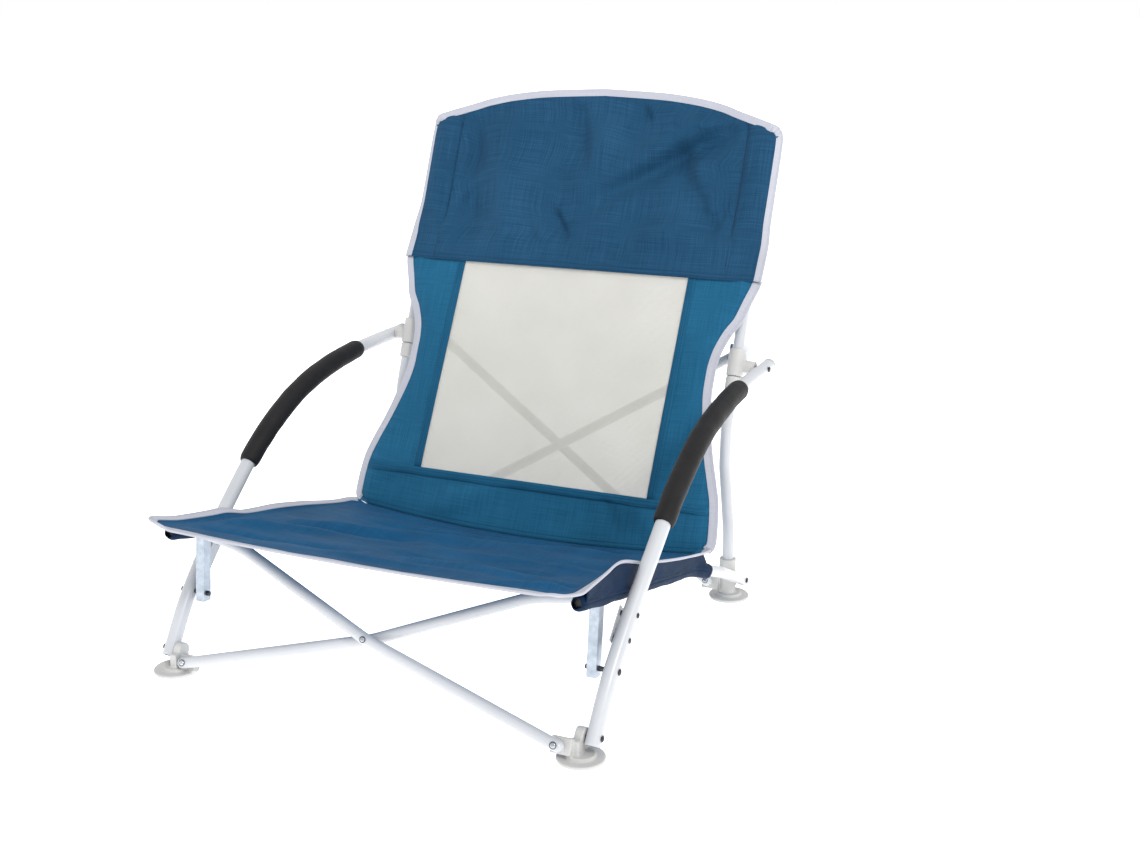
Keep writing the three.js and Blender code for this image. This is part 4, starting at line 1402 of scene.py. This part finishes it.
def make_seat():
    front = SEAT_FRONT + 23 * np.linspace(0, 1, 12) ** 2
    rear = np.linspace(400, CREASE[0], 9)
    ys = np.concatenate([front, np.linspace(-10, 400, 84)[1:], rear[1:]])
    shares = np.linspace(-1, 1, 118)
    grid = np.array([sunk_seat(seat_grid(shares * float(seat_half(y)), y)) for y in ys])
    cloth = sheet_mesh("seat_cloth", grid, SEAT_BLUE)
    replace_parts(ride(cloth, "seat_rail_left"), "seat_sling")
    declare(grid)
    squash_across_seat(cloth)

    # One tape runs along the left side, round both front corners and back along the right side.
    edge = np.concatenate([grid[:0:-1, 0], grid[0], grid[1:, -1]])
    heart = np.stack([np.clip(edge[:, 0], -240, 240), np.maximum(edge[:, 1], 12.0)], axis=-1)
    place = edge[:, :2] + unit(heart - edge[:, :2]) * 6.0
    beside = sunk_seat(seat_grid(place[:, 0], place[:, 1]))
    tape = tape_mesh("seat_edge_tape", edge, beside, thickness=3.2)
    ride(tape, "seat_rail_left")
    squash_across_seat(tape)

    # Side bands hang from the seat's edges down to the tunnels round the rails.
    for side in SIDES:
        column = grid[(ys > 2) & (ys < 385), -1 if side > 0 else 0]
        rail = rail_line(side)
        along = column[:, 1]
        tunnel_x = np.interp(along, rail[:, 1], rail[:, 0]) + side * 8.2
        tunnel_z = np.interp(along, rail[:, 1], rail[:, 2]) + 1.0
        low = np.stack([tunnel_x, along, tunnel_z], axis=-1)
        drop = np.linspace(0, 1, 8)[None, :, None]
        band = column[:, None] * (1 - drop) + low[:, None] * drop
        wave = ripple(band[..., 1], band[..., 2] * 2.0, 18, 4.4)
        band[..., 0] += side * 1.2 * wave * np.sin(math.pi * drop[..., 0])
        # The side bands take the darkened blue: painted shade under the seat's edge.
        flap = sheet_mesh(f"seat_side_band_{side_name(side)}", band, SLEEVE_PAINTED_SHADE_BLUE, 0.9)
        ride(flap, "seat_rail_left")
        declare(band)
        squash_across_seat(flap)


# The first rings of a rail sleeve are drawn in towards its mouth.
MOUTH_GATHERS = (0.66, 0.9)


def sleeve_reach(y, angle, faces_up, side):
    """How far a rail sleeve stands off the rail's middle: uneven, and hanging a little below it."""
    place = Vector((y / 26.0, math.cos(angle) * 1.2, math.sin(angle) * 1.2 + side * 5))
    hang = max(0.0, -math.sin(angle) * (1 if faces_up else -1))
    return 8.8 + 1.1 * noise.noise(place) + 1.4 * hang


def make_rail_sleeves():
    """The seat's side tunnels, loose round the rails and open at both ends."""
    for side in SIDES:
        name = side_name(side)
        line = rail_line(side)
        ahead = line[0] + unit(line[0] - line[1]) * 9.0
        line = fill_in(np.vstack([ahead, line[line[:, 1] <= 393]]), 4.5)
        _, sides, ups = travel(line)
        gathers = np.ones(len(line))
        gathers[: len(MOUTH_GATHERS)] = MOUTH_GATHERS
        angles = np.arange(25) * 2 * math.pi / 24
        rings = []
        for p, s, u, gather in zip(line, sides, ups, gathers):
            loose = [sleeve_reach(p[1], a, u[2] > 0, side) for a in angles]
            loose[-1] = loose[0]
            reach = np.array(loose)[:, None] * gather
            rings.append(p + reach * (np.cos(angles)[:, None] * s + np.sin(angles)[:, None] * u))
        grid = np.array(rings)
        # The sleeves take the darkened blue: painted shade under the seat.
        sleeve = sheet_mesh(f"rail_sleeve_{name}", grid, SLEEVE_PAINTED_SHADE_BLUE, 0.9)
        ride(sleeve, f"seat_rail_{name}")
        declare(grid)


# ---------- floor, light and camera ----------


def glowing(name, shade, strength):
    """A pale surface with a little light of its own, so that shadows on it stay soft."""
    made = Finish(name, 0.95)
    made.tint(made.noise(3.0), shade, [c + 3 for c in shade])
    made.shader.inputs["Emission Color"].default_value = (1.0, 1.0, 1.0, 1.0)
    made.shader.inputs["Emission Strength"].default_value = strength
    return made.material


# The sun's direction, strength and width in degrees; a wide sun has soft shadows.
SUN_FROM = (1.2, -0.8, 1.3)
SUN_STRENGTH = 1.15
SUN_WIDTH = 14


def make_stage():
    bpy.ops.mesh.primitive_plane_add(size=300, location=(0, 0, 0))
    floor = bpy.context.object
    floor.name = "floor"
    floor.data.materials.append(glowing("pale_floor", (176, 176, 176), 1.45))
    world = bpy.data.worlds.new("studio")
    bpy.context.scene.world = world
    world.use_nodes = True
    world.node_tree.nodes["Background"].inputs["Color"].default_value = (1.0, 1.0, 1.0, 1.0)
    world.node_tree.nodes["Background"].inputs["Strength"].default_value = 1.0
    light = bpy.data.lights.new("sun", "SUN")
    light.energy = SUN_STRENGTH
    light.angle = math.radians(SUN_WIDTH)
    lamp = bpy.data.objects.new("sun", light)
    lamp.rotation_euler = (-Vector(SUN_FROM)).to_track_quat("-Z", "Y").to_euler()
    bpy.context.scene.collection.objects.link(lamp)


# The photograph's camera, fitted to the chair: its place, its turn, how far it looks down, its lens.
CAMERA_PLACE = (865.4, -1335.9, 792.0)
CAMERA_TURN = 24.28
CAMERA_DOWN = 15.79
LENS = 46.47
SENSOR_WIDTH = 36


def make_camera():
    data = bpy.data.cameras.new("camera")
    data.sensor_width = SENSOR_WIDTH
    data.lens = LENS
    camera = bpy.data.objects.new("camera", data)
    camera.location = to_row(CAMERA_PLACE)
    camera.rotation_euler = (math.radians(90 - CAMERA_DOWN), 0, math.radians(CAMERA_TURN))
    bpy.context.scene.collection.objects.link(camera)
    bpy.context.scene.camera = camera
    bpy.context.scene.view_settings.view_transform = "Standard"


# ---------- assembly ----------

make_camera()
make_stage()
for side in SIDES:
    make_tubes(side)
    make_grip(side)
    make_rear_foot(side)
    make_front_foot(side)
    make_collars(side)
    make_pins(side)
    make_plugs(side)
make_rear_bars()
make_front_bars()
make_pin("rear_cross_bolt", FORWARD_LEAN, "rear_bar_a")
make_nut("rear_cross_nut", -FORWARD_LEAN, "rear_bar_a")
make_pin("front_cross_bolt", FORWARD_LEAN, "front_bar_b", BRIGHT_ZINC)
make_pin("front_cross_nut", -FORWARD_LEAN, "front_bar_a")
finish_kept_nodes()
make_headrest()
make_back_panel()
make_seat()
make_rail_sleeves()
